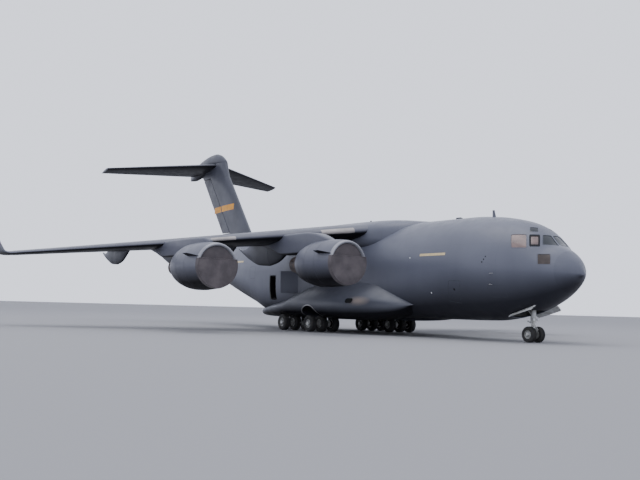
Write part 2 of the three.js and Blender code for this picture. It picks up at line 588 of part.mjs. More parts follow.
const noseZ = axleHeight(NOSE_TYRE);
const noseAxle = { radius: NOSE_LEG.axle, inner: -0.6, outer: 0.6 };
const noseLeg = rod([NOSE_AXLE_S, 0, NOSE_LEG.low], [NOSE_AXLE_S, 0, NOSE_BAY.top - SEAM], NOSE_LEG.radius, 16)
  .add(rod([NOSE_AXLE_S, 0, 1.7], [NOSE_BAY.end - 0.12, 0, 2.6], 0.09, 8));
add('nose_leg', noseLeg, COLOURS.leg, { roughness: 0.4, metalness: 0.3 });
const forkTop = NOSE_LEG.low - 2 * SEAM;
const noseFork = rod([NOSE_AXLE_S, 0, noseZ], [NOSE_AXLE_S, 0, forkTop], NOSE_LEG.strut, 16)
  .add(rod([NOSE_AXLE_S, -NOSE_LEG.hubHalf, noseZ], [NOSE_AXLE_S, NOSE_LEG.hubHalf, noseZ], NOSE_LEG.hub, 16))
  .add(rod([NOSE_AXLE_S, 0, NOSE_LEG.low - 0.14], [NOSE_AXLE_S, 0, forkTop], NOSE_LEG.radius, 16))
  .subtract(bore(NOSE_AXLE_S, -1, 1, noseZ, NOSE_LEG.axle, NOSE_TYRE.sides));
add('nose_fork', noseFork, COLOURS.leg,
  { roughness: 0.4, metalness: 0.3, hinge: [at(NOSE_AXLE_S, 0, 0), at(NOSE_AXLE_S, 0, 1)] });
add('nose_wheels', wheelSet(NOSE_AXLE_S, 1, NOSE_TYRE, noseAxle), COLOURS.tyre,
  { roughness: 0.9, hinge: [at(NOSE_AXLE_S, 0, noseZ), at(NOSE_AXLE_S, 1, noseZ)] });

// Aerofoil sections
const CHORD_STEPS = [0, 0.012, 0.05, 0.13, 0.28, 0.48, 0.70, 1];
const halfThickness = (f) => 5 * (
  0.2969 * Math.sqrt(f) - 0.126 * f - 0.3516 * f ** 2 + 0.2843 * f ** 3 - 0.1015 * f ** 4);
// Ring round an aerofoil: place(f, h) gives the point at chord share f, h above the chord line
function foilRing(chord, thick, place) {
  const upper = CHORD_STEPS.map((f) => place(f, halfThickness(f) * thick * chord));
  const lower = CHORD_STEPS.slice(1).map((f) => place(f, -halfThickness(f) * thick * chord * 0.9));
  return [...upper, ...lower.toReversed()];
}

// A flat surface given by its root and tip: chord line, thickness and hinge points at any y
function surfaceAt({ root, tip }, y) {
  const t = (y - root.y) / (tip.y - root.y);
  const [le, te, z, drop, thick] = ['le', 'te', 'z', 'drop', 'thick']
    .map((key) => lerp(root[key], tip[key], t));
  const chord = te - le;
  return {
    chord,
    thick,
    s: (f) => le + f * chord,
    z: (f) => z - f * drop,
    half: (f) => halfThickness(f) * thick * chord,
  };
}
const surfaceRing = (surface, y, grow = 0) => {
  const here = surfaceAt(surface, y);
  return foilRing(here.chord, here.thick, (f, h) => at(
    here.s(f) + (f - 0.5) * 2 * grow, y, here.z(f) + h + Math.sign(h) * grow));
};

// Region behind the line at chord share f between two stations, moved forward by lead of the half thickness
function behindLine(surface, f, y0, y1, lead = 0, extra = 0) {
  const ring = (y) => {
    const here = surfaceAt(surface, y);
    const s = here.s(f) - lead * here.half(f) - extra;
    return [at(s, y, -1), at(s + 8, y, -1), at(s + 8, y, 19), at(s, y, 19)];
  };
  return loft([ring(y0), ring(y1)]);
}
// Round nose of a control surface along its hinge line
function noseAlong(surface, f, y0, y1, grow = 0) {
  const ring = (y) => {
    const here = surfaceAt(surface, y);
    const radius = here.half(f) * NOSE_SHARE + grow;
    return Array.from({ length: 16 }, (_, i) => {
      const angle = (i / 16) * 2 * Math.PI;
      return at(here.s(f) + radius * Math.cos(angle), y, here.z(f) + radius * Math.sin(angle));
    });
  };
  return loft([ring(y0), ring(y1)]);
}
const hingeOf = (surface, f, y0, y1, side) => [y0, y1].map((y) => {
  const here = surfaceAt(surface, y);
  return at(here.s(f), y * side, here.z(f));
});
const flipped = (manifold, side) => (side > 0 ? manifold : manifold.mirror([0, 1, 0]));

// Wing, made on the left and mirrored
const wingletRings = WINGLET.map(([le, chord, y, z, lean]) => {
  const [out, up] = [Math.sin(radians(lean)), Math.cos(radians(lean))];
  return foilRing(chord, 0.09, (f, h) => at(le + f * chord, y - h * out, z + h * up));
});
const wholeWing = loft([surfaceRing(WING, WING.root.y), surfaceRing(WING, WING.tip.y), ...wingletRings]);

const fairingRing = ([s, half, top]) => Array.from({ length: 24 }, (_, i) => {
  const angle = (i / 24) * 2 * Math.PI;
  const [c, n] = [Math.cos(angle), Math.sin(angle)];
  const height = n > 0 ? top - FAIRING_MIDDLE : FAIRING_MIDDLE - FAIRING_LOW;
  const y = Math.sign(c) * Math.abs(c) ** 0.7 * half;
  return at(s, y, FAIRING_MIDDLE + Math.sign(n) * Math.abs(n) ** 0.7 * height);
});
const fairing = loft(FAIRING.map(fairingRing));
add('wing_fairing', fairing.subtract(bodyCut), COLOURS.skin);

// Hinge line of a flap, below the wing and just ahead of the flap
function flapPivot(y) {
  const here = surfaceAt(WING, y);
  return [here.s(FLAP_FRONT) - FLAP_PIVOT.ahead, y, here.z(FLAP_FRONT) - FLAP_PIVOT.below * here.chord];
}
// Hinge fairing, from the chord line down and pointed behind the wing
function hingeFairing(y, rows) {
  const here = surfaceAt(WING, y);
  const [pivotS, , pivotZ] = flapPivot(y);
  return loft(rows.map(([ds, dz, width]) => {
    const [s, low, half] = [pivotS + ds * here.chord, pivotZ + dz * here.chord, width * here.chord];
    const behind = Math.max(0, s - here.s(1)) / (pivotS + 0.56 * here.chord - here.s(1));
    const chordLine = here.z(Math.min(1, (s - here.s(0)) / here.chord));
    const top = lerp(Math.max(chordLine, low + 0.12), low + 0.12, behind);
    const shoulder = lerp(low, top, 0.3);
    return [
      at(s, y - half, top), at(s, y - half, shoulder), at(s, y - half * 0.5, low),
      at(s, y + half * 0.5, low), at(s, y + half, shoulder), at(s, y + half, top),
    ];
  }));
}

// Barrel on the flap's hinge line at a fairing, and the lug that holds it
function flapBarrel(y, radius, half) {
  const [a, b] = [y - half, y + half].map((end) => at(...flapPivot(end)));
  return cylinder(a, b, radius, PIN.sides);
}
function flapLug(y) {
  const [s, , z] = flapPivot(y);
  return block(s - 0.3, s - 0.01, y - FLAP_LUG.half, y + FLAP_LUG.half, z - FLAP_LUG.deep, z + 0.1);
}
// Region that a flap takes. Its ends lie square to its hinge line.
// Only the outer flap's outboard end lies fore and aft.
function flapRegion([label, y0, y1], gap) {
  const [a, b] = [y0, y1].map((y) => at(...flapPivot(y)));
  const along = b.clone().sub(a).normalize();
  const front = (y) => at(surfaceAt(WING, y).s(FLAP_FRONT), y, surfaceAt(WING, y).z(FLAP_FRONT));
  const outer = label === 'outer';
  const region = behindLine(WING, FLAP_FRONT, y0 - 2, outer ? y1 + gap : y1 + 1, 0, gap)
    .trimByPlane(along.toArray(), along.dot(front(y0)) - gap * MM);
  if (outer) return region;
  return region.trimByPlane(along.clone().negate().toArray(), -along.dot(front(y1)) - gap * MM);
}
const flapBarrelCut = (y) => flapBarrel(y, boreRadius(FLAP_LUG.barrel), FLAP_LUG.half * 2);
const flapKnuckle = (y) => {
  const [s, , z] = flapPivot(y);
  return flapBarrel(y, FLAP_LUG.barrel, FLAP_LUG.half)
    .add(block(s + 0.02, s + 0.3, y - FLAP_LUG.half, y + FLAP_LUG.half, z - 0.02, z + 0.3));
};

const aileronHinge = hingeOf(WING, AILERON.front, AILERON.inner, AILERON.outer, 1);
const withoutFlap = (wing, flap) => {
  const faired = flap[3].reduce((rest, y) => rest.add(hingeFairing(y, FIXED_FAIRING)), wing);
  return flap[3].reduce((rest, y) => rest.add(flapLug(y)).subtract(flapBarrelCut(y)),
    faired.subtract(flapRegion(flap, 0.04)));
};
const bareWing = FLAPS.reduce(
  withoutFlap,
  wholeWing
    .subtract(behindLine(WING, AILERON.front, AILERON.inner - 0.04, AILERON.outer + 0.04, 0.5, CLEAR))
    .subtract(noseAlong(WING, AILERON.front, AILERON.inner - 0.04, AILERON.outer + 0.04, CLEAR))
    .subtract(endBores(aileronHinge, PIN.radius)),
);
const fairingCut = loft(FAIRING.map(([s, half, top], i) => fairingRing([
  s + (i === 0 ? -SEAM : 0) + (i === FAIRING.length - 1 ? SEAM : 0), half + SEAM, top + SEAM])));
const aileron = wholeWing.intersect(behindLine(WING, AILERON.front, AILERON.inner, AILERON.outer))
  .add(noseAlong(WING, AILERON.front, AILERON.inner, AILERON.outer))
  .add(endPins(aileronHinge, PIN.radius));

SIDES.forEach(([name, side]) => {
  add(`wing_${name}`, flipped(bareWing, side).subtract(bodyCut).subtract(fairingCut), COLOURS.skin);
  add(`aileron_${name}`, flipped(aileron, side), COLOURS.skin,
    { hinge: hingeOf(WING, AILERON.front, AILERON.inner, AILERON.outer, side) });
  FLAPS.forEach((row) => {
    const [label, y0, y1, stations] = row;
    const faired = stations.reduce((rest, y) => rest.add(hingeFairing(y, MOVING_FAIRING)), wholeWing);
    const flap = stations.reduce((rest, y) => rest.add(flapKnuckle(y)), faired.intersect(flapRegion(row, 0)));
    const hinge = [y0, y1].map((y) => {
      const [s, , z] = flapPivot(y);
      return at(s, y * side, z);
    });
    add(`flap_${label}_${name}`, flipped(flap, side), COLOURS.skin, { hinge });
  });
});

// Engines: cowl, cover in the intake, block with core cowl, and pylon up to the wing
const grown = (outline, by) => outline.map(([s, r]) => [s, r === 0 ? 0 : r + by]);
const wingCut = loft([WING.root, WING.tip].map(({ y }) => surfaceRing(WING, y, SEAM * 2)));
SIDES.forEach(([name, side]) => {
  ENGINES.forEach(([label, y, s, z]) => {
    const cowl = turnedAlong(s, y * side, z, [...COWL, COWL[0]]);
    const angle = radians(STRAKE.angle);
    const fin = loft([
      [STRAKE.start, 0.06], [STRAKE.start + 0.75, STRAKE.height], [STRAKE.end, STRAKE.height],
    ].map(([ds, height]) => [[1.44, -1], [1.44, 1], [1.50 + height, 1], [1.50 + height, -1]].map(([r, k]) => at(
      s + ds,
      side * (y + r * Math.cos(angle) - k * STRAKE.thick * Math.sin(angle) / 2),
      z + r * Math.sin(angle) + k * STRAKE.thick * Math.cos(angle) / 2))));
    add(`nacelle_${label}_${name}`, cowl.add(fin), COLOURS.skin);
    const engine = turnedAlong(s, y * side, z, ENGINE_BLOCK);
    add(`engine_${label}_${name}`, engine, COLOURS.exhaust, { roughness: 0.45, metalness: 0.6 });

    const cover = turnedAlong(s, y * side, z, COVER)
      .subtract(block(s - 1, s + COVER_STEP.s, y * side - 2, y * side + 2, z + COVER_STEP.z, z + 2));
    add(`intake_cover_${label}_${name}`, cover, COLOURS.cover, { roughness: 0.8 });

    const leading = surfaceAt(WING, y).s(0) + 0.4;
    const reach = leading - (s + PYLON_START);
    const pylon = loftOn(side, PYLON[label].map(([share, top, bottom, half]) => {
      const here = s + PYLON_START + reach * share;
      const corner = Math.min(0.12, half / 2);
      return [
        at(here, y - half, z + bottom + corner), at(here, y - half + corner, z + bottom),
        at(here, y + half - corner, z + bottom), at(here, y + half, z + bottom + corner),
        at(here, y + half, z + top - corner), at(here, y + half - corner, z + top),
        at(here, y - half + corner, z + top), at(here, y - half, z + top - corner),
      ];
    }));
    const outside = grown(COWL.slice(0, 7), SEAM);
    const cowlFill = turnedAlong(s, y * side, z, [[0, 0], ...outside, [outside[6][0] + SEAM, 0]]);
    const engineFill = turnedAlong(s, y * side, z, grown(ENGINE_BLOCK, SEAM));
    const fitted = pylon.subtract(cowlFill).subtract(engineFill).subtract(flipped(wingCut, side));
    add(`pylon_${label}_${name}`, fitted, COLOURS.skin);
  });
});

// Fin and rudder
const finAt = (z) => {
  const t = (z - FIN.low.z) / (FIN.high.z - FIN.low.z);
  const [le, te, thick] = ['le', 'te', 'thick'].map((key) => lerp(FIN.low[key], FIN.high[key], t));
  const chord = te - le;
  return { chord, s: (f) => le + f * chord, half: (f) => halfThickness(f) * thick * chord, thick };
};
const finRing = (z) => {
  const here = finAt(z);
  return CHORD_STEPS.map((f) => at(here.s(f), here.half(f), z))
    .concat(CHORD_STEPS.slice(1).toReversed().map((f) => at(here.s(f), -here.half(f), z)));
};
const wholeFin = loft([finRing(FIN.low.z), finRing(FIN.high.z)]);
function finBehind(z0, z1, lead, extra) {
  const ring = (z) => {
    const here = finAt(z);
    const s = here.s(RUDDER.front) - lead * here.half(RUDDER.front) - extra;
    return [at(s, -2, z), at(s + 6, -2, z), at(s + 6, 2, z), at(s, 2, z)];
  };
  return loft([ring(z0), ring(z1)]);
}
function finNose(z0, z1, grow) {
  const ring = (z) => {
    const here = finAt(z);
    const radius = here.half(RUDDER.front) * NOSE_SHARE + grow;
    return Array.from({ length: 16 }, (_, i) => {
      const angle = (i / 16) * 2 * Math.PI;
      return at(here.s(RUDDER.front) + radius * Math.cos(angle) * 1.25, radius * Math.sin(angle), z);
    });
  };
  return loft([ring(z0), ring(z1)]);
}
const rudderHinge = [RUDDER.low, RUDDER.high].map((z) => at(finAt(z).s(RUDDER.front), 0, z));
const rudder = wholeFin.intersect(finBehind(RUDDER.low, RUDDER.high, 0, 0))
  .add(finNose(RUDDER.low, RUDDER.high, 0))
  .add(endPins(rudderHinge, PIN.radius, 2 * PIN.reach));
add('rudder', rudder, COLOURS.skin, { hinge: rudderHinge });

// Tailplane with the bullet that joins its halves
const bulletRing = ([s, half, top, bottom]) => Array.from({ length: 16 }, (_, i) => {
  const angle = (i / 16) * 2 * Math.PI;
  return at(s, half * Math.cos(angle), (top + bottom) / 2 + (top - bottom) / 2 * Math.sin(angle));
});
const bullet = loft(BULLET.map(bulletRing));
const halfTail = loft([surfaceRing(TAILPLANE, 0), surfaceRing(TAILPLANE, TAILPLANE.tip.y)]);
const elevatorHinge = hingeOf(TAILPLANE, ELEVATOR.front, ELEVATOR.inner, ELEVATOR.outer, 1);
const elevator = halfTail.intersect(behindLine(TAILPLANE, ELEVATOR.front, ELEVATOR.inner, ELEVATOR.outer))
  .add(noseAlong(TAILPLANE, ELEVATOR.front, ELEVATOR.inner, ELEVATOR.outer))
  .add(endPins(elevatorHinge, PIN.radius));
const fixedTail = halfTail
  .subtract(endBores(elevatorHinge, PIN.radius))
  .subtract(behindLine(TAILPLANE, ELEVATOR.front, ELEVATOR.inner - 0.05, ELEVATOR.outer + 0.05, 0.5, CLEAR))
  .subtract(noseAlong(TAILPLANE, ELEVATOR.front, ELEVATOR.inner - 0.05, ELEVATOR.outer + 0.05, CLEAR));
const tailplane = fixedTail.add(fixedTail.mirror([0, 1, 0])).add(bullet);
add('tailplane', tailplane, COLOURS.skin);
SIDES.forEach(([name, side]) => {
  add(`elevator_${name}`, flipped(elevator, side), COLOURS.skin,
    { hinge: hingeOf(TAILPLANE, ELEVATOR.front, ELEVATOR.inner, ELEVATOR.outer, side) });
});
const finSolid = wholeFin
  .subtract(finBehind(RUDDER.low - 0.08, RUDDER.high + 0.12, 0.5, CLEAR))
  .subtract(finNose(RUDDER.low - 0.08, RUDDER.high + 0.05, CLEAR))
  .subtract(endBores(rudderHinge, PIN.radius, 2 * PIN.reach))
  .subtract(bodyCut)
  .subtract(tailplane.translate(0, 0, -SEAM * 2 * MM))
  .subtract(tailplane);
add('fin', finSolid, COLOURS.skin);

export default scene;
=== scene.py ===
"""A four-engined military transport plane, half of its real size, parked with covers in its engine intakes.

Tables and named sizes are metres of the real plane: s runs aft and is 0.5 at the nose tip, y to the left
and z up from the ground. build() turns them into the model's own metres.
"""
import math

import bmesh
import bpy
import numpy as np
from mathutils import Matrix, Vector


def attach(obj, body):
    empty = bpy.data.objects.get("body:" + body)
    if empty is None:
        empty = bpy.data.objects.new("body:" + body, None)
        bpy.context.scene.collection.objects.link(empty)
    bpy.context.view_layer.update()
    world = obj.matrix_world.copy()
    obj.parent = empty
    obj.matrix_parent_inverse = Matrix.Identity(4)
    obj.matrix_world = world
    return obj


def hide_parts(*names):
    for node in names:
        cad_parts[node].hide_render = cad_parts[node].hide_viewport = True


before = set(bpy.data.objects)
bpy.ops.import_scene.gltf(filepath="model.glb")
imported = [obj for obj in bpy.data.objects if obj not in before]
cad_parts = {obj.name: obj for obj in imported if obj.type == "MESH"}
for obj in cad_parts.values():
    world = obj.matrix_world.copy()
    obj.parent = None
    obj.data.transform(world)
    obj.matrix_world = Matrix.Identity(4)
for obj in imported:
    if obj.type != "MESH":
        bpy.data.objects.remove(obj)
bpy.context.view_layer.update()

SCALE = 0.5
# Ends of the plane, and the station that lies at the middle of the model
NOSE = 0.5
TAIL = 53.04
MIDDLE = (NOSE + TAIL) / 2
# Half of the joint between two fixed pieces, and the room round a moving one
SEAM = 0.0003
CLEAR = 0.016

# Camera: where it stands in the model's metres, its angles in degrees, its lens and sensor in millimetres
CAMERA_PLACE = (30.048, -21.071, 0.9125)
CAMERA_AZIMUTH = 55.409
CAMERA_PITCH = 4.38
CAMERA_ROLL = 1.472
CAMERA_LENS = 49.616
CAMERA_SENSOR = 36
CAMERA_REACH = 1000


def set_camera():
    """The photograph's own camera, solved from the plane's length and outline."""
    azimuth, pitch, roll = map(math.radians, (CAMERA_AZIMUTH, CAMERA_PITCH, CAMERA_ROLL))
    flat = math.cos(pitch)
    ahead = Vector((-math.sin(azimuth) * flat, math.cos(azimuth) * flat, math.sin(pitch)))
    level = Vector((math.cos(azimuth), math.sin(azimuth), 0))
    upward = level.cross(ahead)
    right = level * math.cos(roll) + upward * math.sin(roll)
    up = upward * math.cos(roll) - level * math.sin(roll)
    data = bpy.data.cameras.new("camera")
    data.sensor_width = CAMERA_SENSOR
    data.lens = CAMERA_LENS
    data.clip_end = CAMERA_REACH
    camera = bpy.data.objects.new("camera", data)
    turn = Matrix((right, up, -ahead)).transposed().to_4x4()
    camera.matrix_world = Matrix.Translation(CAMERA_PLACE) @ turn
    bpy.context.scene.collection.objects.link(camera)
    bpy.context.scene.camera = camera


set_camera()

# Body sections: s, top z, bottom z, half width, z of the widest point, squareness of the lower half
BODY = [
    (0.50, 4.25, 4.15, 0.05, 4.20, 2.0),
    (0.61, 4.62, 3.97, 0.35, 4.22, 2.0),
    (0.86, 5.02, 3.65, 0.75, 4.27, 2.0),
    (1.30, 5.42, 3.24, 1.23, 4.33, 2.0),
    (1.83, 5.76, 2.85, 1.67, 4.39, 2.0),
    (2.27, 5.98, 2.58, 1.96, 4.43, 2.0),
    (2.94, 6.66, 2.24, 2.32, 4.49, 2.0),
    (3.60, 7.16, 1.97, 2.62, 4.54, 2.0),
    (4.40, 7.50, 1.70, 2.90, 4.58, 2.0),
    (5.50, 7.77, 1.47, 3.15, 4.63, 2.0),
    (7.00, 8.00, 1.29, 3.36, 4.67, 2.0),
    (9.00, 8.12, 1.26, 3.43, 4.69, 2.1),
    (12.9, 8.12, 1.26, 3.43, 4.69, 2.8),
    (17.0, 8.12, 1.26, 3.43, 4.69, 4.0),
    (31.3, 8.12, 1.26, 3.43, 4.69, 4.0),
    (34.0, 8.10, 1.95, 3.36, 4.85, 3.4),
    (37.5, 8.00, 2.85, 3.08, 5.15, 2.8),
    (41.0, 7.80, 3.75, 2.58, 5.60, 2.3),
    (44.0, 7.60, 4.55, 2.01, 6.00, 2.0),
    (47.5, 7.25, 5.50, 1.22, 6.40, 2.0),
    (49.6, 6.95, 6.15, 0.45, 6.55, 2.0),
]
# Stations of the joints between the body's lengths, and of its straight middle; thickness of the skin
NOSE_END = 1.5
FORWARD_END = 12.9
STRAIGHT_START = 17.0
CENTRE_END = 31.3
AFT_END = 44.0
TAIL_END = 49.6
SKIN = 0.12

# Flight deck window corners on the right side: s, distance from the centre plane, z
WINDOWS = {
    "windscreen": ((2.86, 0.08, 6.54), (2.20, 0.10, 5.92), (2.52, 1.17, 5.94), (2.94, 0.70, 6.57)),
    "sliding_window": ((3.02, 0.88, 6.56), (2.56, 1.40, 5.82), (2.96, 1.85, 5.81), (3.36, 1.42, 6.54)),
    "rear_window": ((3.47, 1.52, 6.57), (3.04, 2.00, 5.70), (3.86, 2.45, 5.71), (4.26, 2.04, 6.58)),
    "eyebrow_window": ((3.50, 0.50, 7.04), (3.24, 0.79, 6.76), (3.47, 1.25, 6.74), (3.76, 0.94, 7.06)),
    "chin_window": ((1.88, 1.23, 5.36), (1.66, 1.48, 4.70), (2.29, 1.94, 4.70), (2.46, 1.76, 5.35)),
}
# Their glass, the width of the frame as a share of the window, and the frame's finish
GLAZING = {
    "windscreen": ("glass", 0.04, "joint"),
    "sliding_window": ("gold_glass", 0.15, "seal"),
    "rear_window": ("gold_glass", 0.03, "plain"),
    "eyebrow_window": ("glass", 0.03, "plain"),
    "chin_window": ("smoked_glass", 0.05, "plain"),
}
# Point inside from which the corners are cast on to the skin
WINDOW_FOCUS = (4.4, 0.0, 5.5)

# Doors and openings: fore and aft end, lower and upper edge
CREW_DOOR = dict(start=7.3, end=8.4, low=2.25, high=4.15, sill=0.05)
CREW_HANDLE = (7.72, 7.98, 3.35, 3.45)
# Steps inside the crew door: y of the outer edge, z of the underside
CREW_STEPS = ((2.62, 2.75), (2.86, 3.15), (3.0, 3.55))
TROOP_DOOR = dict(start=29.15, end=30.1, low=2.4, high=4.4, raised=1.75, inside=0.52)
TROOP_WINDOW = dict(start=29.53, end=29.73, low=3.75, high=3.95, corner=0.09, seal=0.04)
DEFLECTOR = dict(start=25.8, end=27.45, low=2.95, high=4.7, open=26, thick=0.06, pin_deep=0.024)
FLOOR_TOP = 1.63
RAMP = dict(end=37.3, side=2.35, deep_aft=0.4, hinge_aft=0.08, hinge_z=1.56, swing=28, lean=0.42)
CARGO_DOOR = dict(end=43.5, side_fore=2.1, side_aft=1.35, deep=0.22)
NOSE_BAY = dict(start=3.15, end=5.45, side=0.78, wall=0.08, top=2.75)
BAY_RIBS = (3.5, 3.85, 4.55, 4.9, 5.2)
# The nose bay's doors stand out sideways. Each row is s, z at the hinge and z at the outer edge; each corner
# row is a share of the way aft and how much narrower the door is there; an arm has its s and z.
BAY_DOOR = dict(
    side=1.5, thick=0.08, rows=((3.25, 2.30, 2.02), (5.05, 1.72, 1.52)),
    corners=((0.0, 0.12), (0.07, 0.02), (0.14, 0.0), (0.86, 0.0), (0.93, 0.02), (1.0, 0.12)),
    arms=((3.6, 2.40), (4.7, 2.06)),
)

# Gear pod sections: s, outer y, top z, bottom z
POD = [
    (12.4, 2.82, 2.50, 2.20),
    (13.1, 3.36, 2.94, 1.66),
    (14.4, 4.12, 3.56, 1.26),
    (16.4, 4.78, 4.16, 1.06),
    (19.0, 5.10, 4.20, 1.00),
    (23.4, 5.17, 3.85, 1.00),
    (25.8, 5.12, 2.80, 1.00),
    (28.4, 4.70, 2.30, 1.00),
    (30.0, 4.10, 1.98, 1.02),
    (30.9, 3.40, 1.70, 1.06),
]
POD_INNER = 2.0
# Height of the widest point, and how full the section is above and below it
POD_MIDDLE = 2.15
POD_ABOVE = 2 / 1.5
POD_BELOW = 2 / 3.2

# Rows of main wheels: name, s of the axle, and the arch's half length, spring line and top
MAIN_ROWS = (("fore", 21.75, (1.12, 0.9, 1.96)), ("aft", 25.4, (0.88, 0.8, 1.44)))
MAIN_TYRE = dict(radius=0.635, width=0.50, ys=(2.78, 3.85, 4.86))
MAIN_BRAKES = (2.98, 3.62, 4.60)
MAIN_LEG = dict(y=3.315, radius=0.17)
ARCH_INNER = 2.35
NOSE_AXLE_S = 4.25
NOSE_TYRE = dict(radius=0.508, width=0.38, ys=(-0.38, 0.38))
TYRE_SIDES = 16
HUB_BOLTS = 10

WING = dict(
    root=dict(y=1.6, le=16.47, te=26.93, z=7.67, drop=0.45, thick=0.142),
    tip=dict(y=25.0, le=29.22, te=32.34, z=5.07, drop=0.02, thick=0.105),
)
# Winglet sections: leading edge s, chord, y, z, lean of the section in degrees
WINGLET = [
    (29.22, 3.12, 25.00, 5.07, 8),
    (29.75, 2.55, 25.28, 5.20, 45),
    (30.40, 2.05, 25.42, 5.70, 78),
    (32.05, 1.00, 25.84, 7.75, 80),
]
# Fairing over the wing's middle: s, half width, top z
FAIRING = [
    (13.7, 0.50, 8.13),
    (14.6, 1.70, 8.22),
    (15.8, 2.60, 8.34),
    (17.2, 3.10, 8.40),
    (20.0, 3.36, 8.42),
    (25.5, 3.30, 8.38),
    (28.0, 2.60, 8.28),
    (30.2, 1.20, 8.15),
]
FAIRING_MIDDLE = 7.1
FAIRING_LOW = 5.6
FAIRING_SQUARE = 0.7

# Thickness of a section's lower side, as a share of the upper side's
UNDERSIDE = 0.9
# Front edge of the flaps as a share of the chord; their pivot lies ahead of it in metres, and below it by a
# share of the chord
FLAP_FRONT = 0.72
FLAP_PIVOT = dict(ahead=0.03, below=0.216)
FLAP_GAP = 0.04
# Rounds in which the y of a flap's end is found, as it depends on s and z there
FLAP_ROUNDS = 12
# Flaps: name, inner y, outer y, the y of its two hinge fairings
FLAPS = (("inner", 4.55, 11.3, (6.2, 10.2)), ("outer", 11.36, 18.3, (13.0, 17.3)))
# Hinge fairings, as shares of the chord there: s from the pivot, bottom from the pivot, half width
FIXED_FAIRING = (
    (-0.42, 0.21, 0.008), (-0.30, 0.125, 0.026), (-0.13, 0.03, 0.034), (0.04, -0.004, 0.036),
)
MOVING_FAIRING = (
    (-0.04, 0.0, 0.036), (0.19, 0.012, 0.034), (0.37, 0.07, 0.026), (0.56, 0.162, 0.008),
)
AILERON = dict(front=0.75, inner=18.5, outer=24.3, gap=0.04)
# Radius of a control surface's round nose, as a share of the half thickness there
NOSE_SHARE = 0.8

# Engines on each side: name, y, intake s, centre z
ENGINES = (("inner", 7.98, 12.85, 4.80), ("outer", 15.38, 16.93, 4.36))
# Turned shapes about the engine's axis, as distance behind the lip and radius
COWL = [(0.0, 1.36), (0.10, 1.45), (0.70, 1.53), (1.80, 1.58), (3.00, 1.55), (4.00, 1.38), (4.65, 1.18)]
INTAKE = [(0.0, 1.36), (0.08, 1.27), (0.22, 1.242), (3.40, 1.24), (4.65, 1.13)]
CORE = [(1.00, 1.00), (3.10, 1.02), (4.60, 0.90), (6.30, 0.56)]
PLUG = [(6.0, 0.36), (6.30, 0.34), (6.70, 0.18), (6.95, 0.03)]
LIP_END = 0.20
# Seams of the cowl: start and end of each skin
COWL_SKINS = ((LIP_END + 0.004, 1.78), (1.80, 2.98), (3.00, COWL[-1][0]))
# Intake cover: radius over the lip, radius of the set-back part, height of the step between them, set-back
COVER = dict(radius=1.455, back_radius=1.235, step=0.42, set_back=0.13)
# The sheet wraps over the lip: distance aft of the lip and radius, outside and back along the inside
COVER_SKIRT = (
    (-0.04, 1.430), (0.04, 1.463), (0.12, 1.480), (0.24, 1.505),
    (0.24, 1.490), (0.12, 1.465), (0.04, 1.448), (-0.03, 1.420),
)
# Pylon sections: share of the way from the nacelle to the wing, top and bottom above the engine's centre,
# half width
PYLON = dict(
    inner=((0.00, 1.46, 1.10, 0.10), (0.12, 1.72, 0.90, 0.34), (0.32, 2.07, 0.78, 0.46),
           (0.53, 2.20, 0.74, 0.48), (1.00, 2.18, 0.72, 0.48), (1.25, 2.10, 1.10, 0.42),
           (1.55, 1.90, 1.52, 0.12)),
    outer=((-0.06, 1.66, 1.10, 0.10), (0.05, 1.87, 0.95, 0.34), (0.32, 1.90, 0.78, 0.46),
           (0.53, 1.90, 0.74, 0.48), (1.00, 1.90, 0.72, 0.48), (1.25, 1.84, 1.10, 0.42),
           (1.55, 1.70, 1.46, 0.12)),
)
PYLON_START = 1.4
STRAKE = dict(start=0.12, end=1.5, angle=22, height=0.46, thick=0.04)
# Distance behind the strake's start, and its height there
STRAKE_ROWS = (
    (0.0, 0.02), (0.25, 0.16), (0.75, STRAKE["height"]), (1.35, STRAKE["height"] * 1.02),
    (STRAKE["end"] - STRAKE["start"], STRAKE["height"] * 0.9),
)

FIN = dict(
    low=dict(z=7.2, le=38.1, te=43.7, thick=0.12),
    high=dict(z=15.85, le=44.95, te=50.35, thick=0.105),
)
# The fin's leading edge under the bullet: z and s, and where the cap there ends
FIN_CAP = ((14.6, 43.99), (15.1, 44.26), (15.5, 44.45), (15.9, 44.60), (16.2, 44.72))
FIN_CAP_END = 46.4
# The yellow band: z at its datum station, rise forward of it, width, and the ends on the fin and the rudder
BAND = dict(z=11.12, datum=46.3, rise=0.03, width=0.58)
BAND_ENDS = (("fin", "airframe", 42.45, 45.04), ("rudder", "rudder", 45.20, 46.9))
RUDDER = dict(front=0.68, low=9.0, high=14.7)
TAILPLANE = dict(
    root=dict(y=0, le=46.3, te=51.35, z=16.1, drop=0.72, thick=0.11),
    tip=dict(y=9.9, le=51.30, te=53.04, z=15.25, drop=0.32, thick=0.13),
)
ELEVATOR = dict(front=0.68, inner=0.85, outer=9.2, gap=0.05)
# Bullet over the fin: s, half width, top z, bottom z
BULLET = [
    (44.7, 0.06, 16.34, 16.12),
    (45.2, 0.22, 16.68, 15.92),
    (45.9, 0.36, 17.06, 15.88),
    (46.9, 0.42, 17.28, 15.86),
    (47.6, 0.42, 17.26, 15.82),
    (49.6, 0.40, 16.95, 15.25),
    (51.4, 0.26, 16.30, 14.95),
    (52.6, 0.06, 15.55, 15.05),
]
SIDES = (("left", 1), ("right", -1))


# Materials

# Sockets of a Mix node that mixes colours: share, first and second colour, result
SHARE, FIRST, SECOND, RESULT = 0, 6, 7, 2


def linear(code):
    """An sRGB hex value as the linear colour that a shader takes."""
    parts = [int(code[i:i + 2], 16) / 255 for i in (0, 2, 4)]
    return tuple(c / 12.92 if c <= 0.04045 else ((c + 0.055) / 1.055) ** 2.4 for c in parts) + (1.0,)


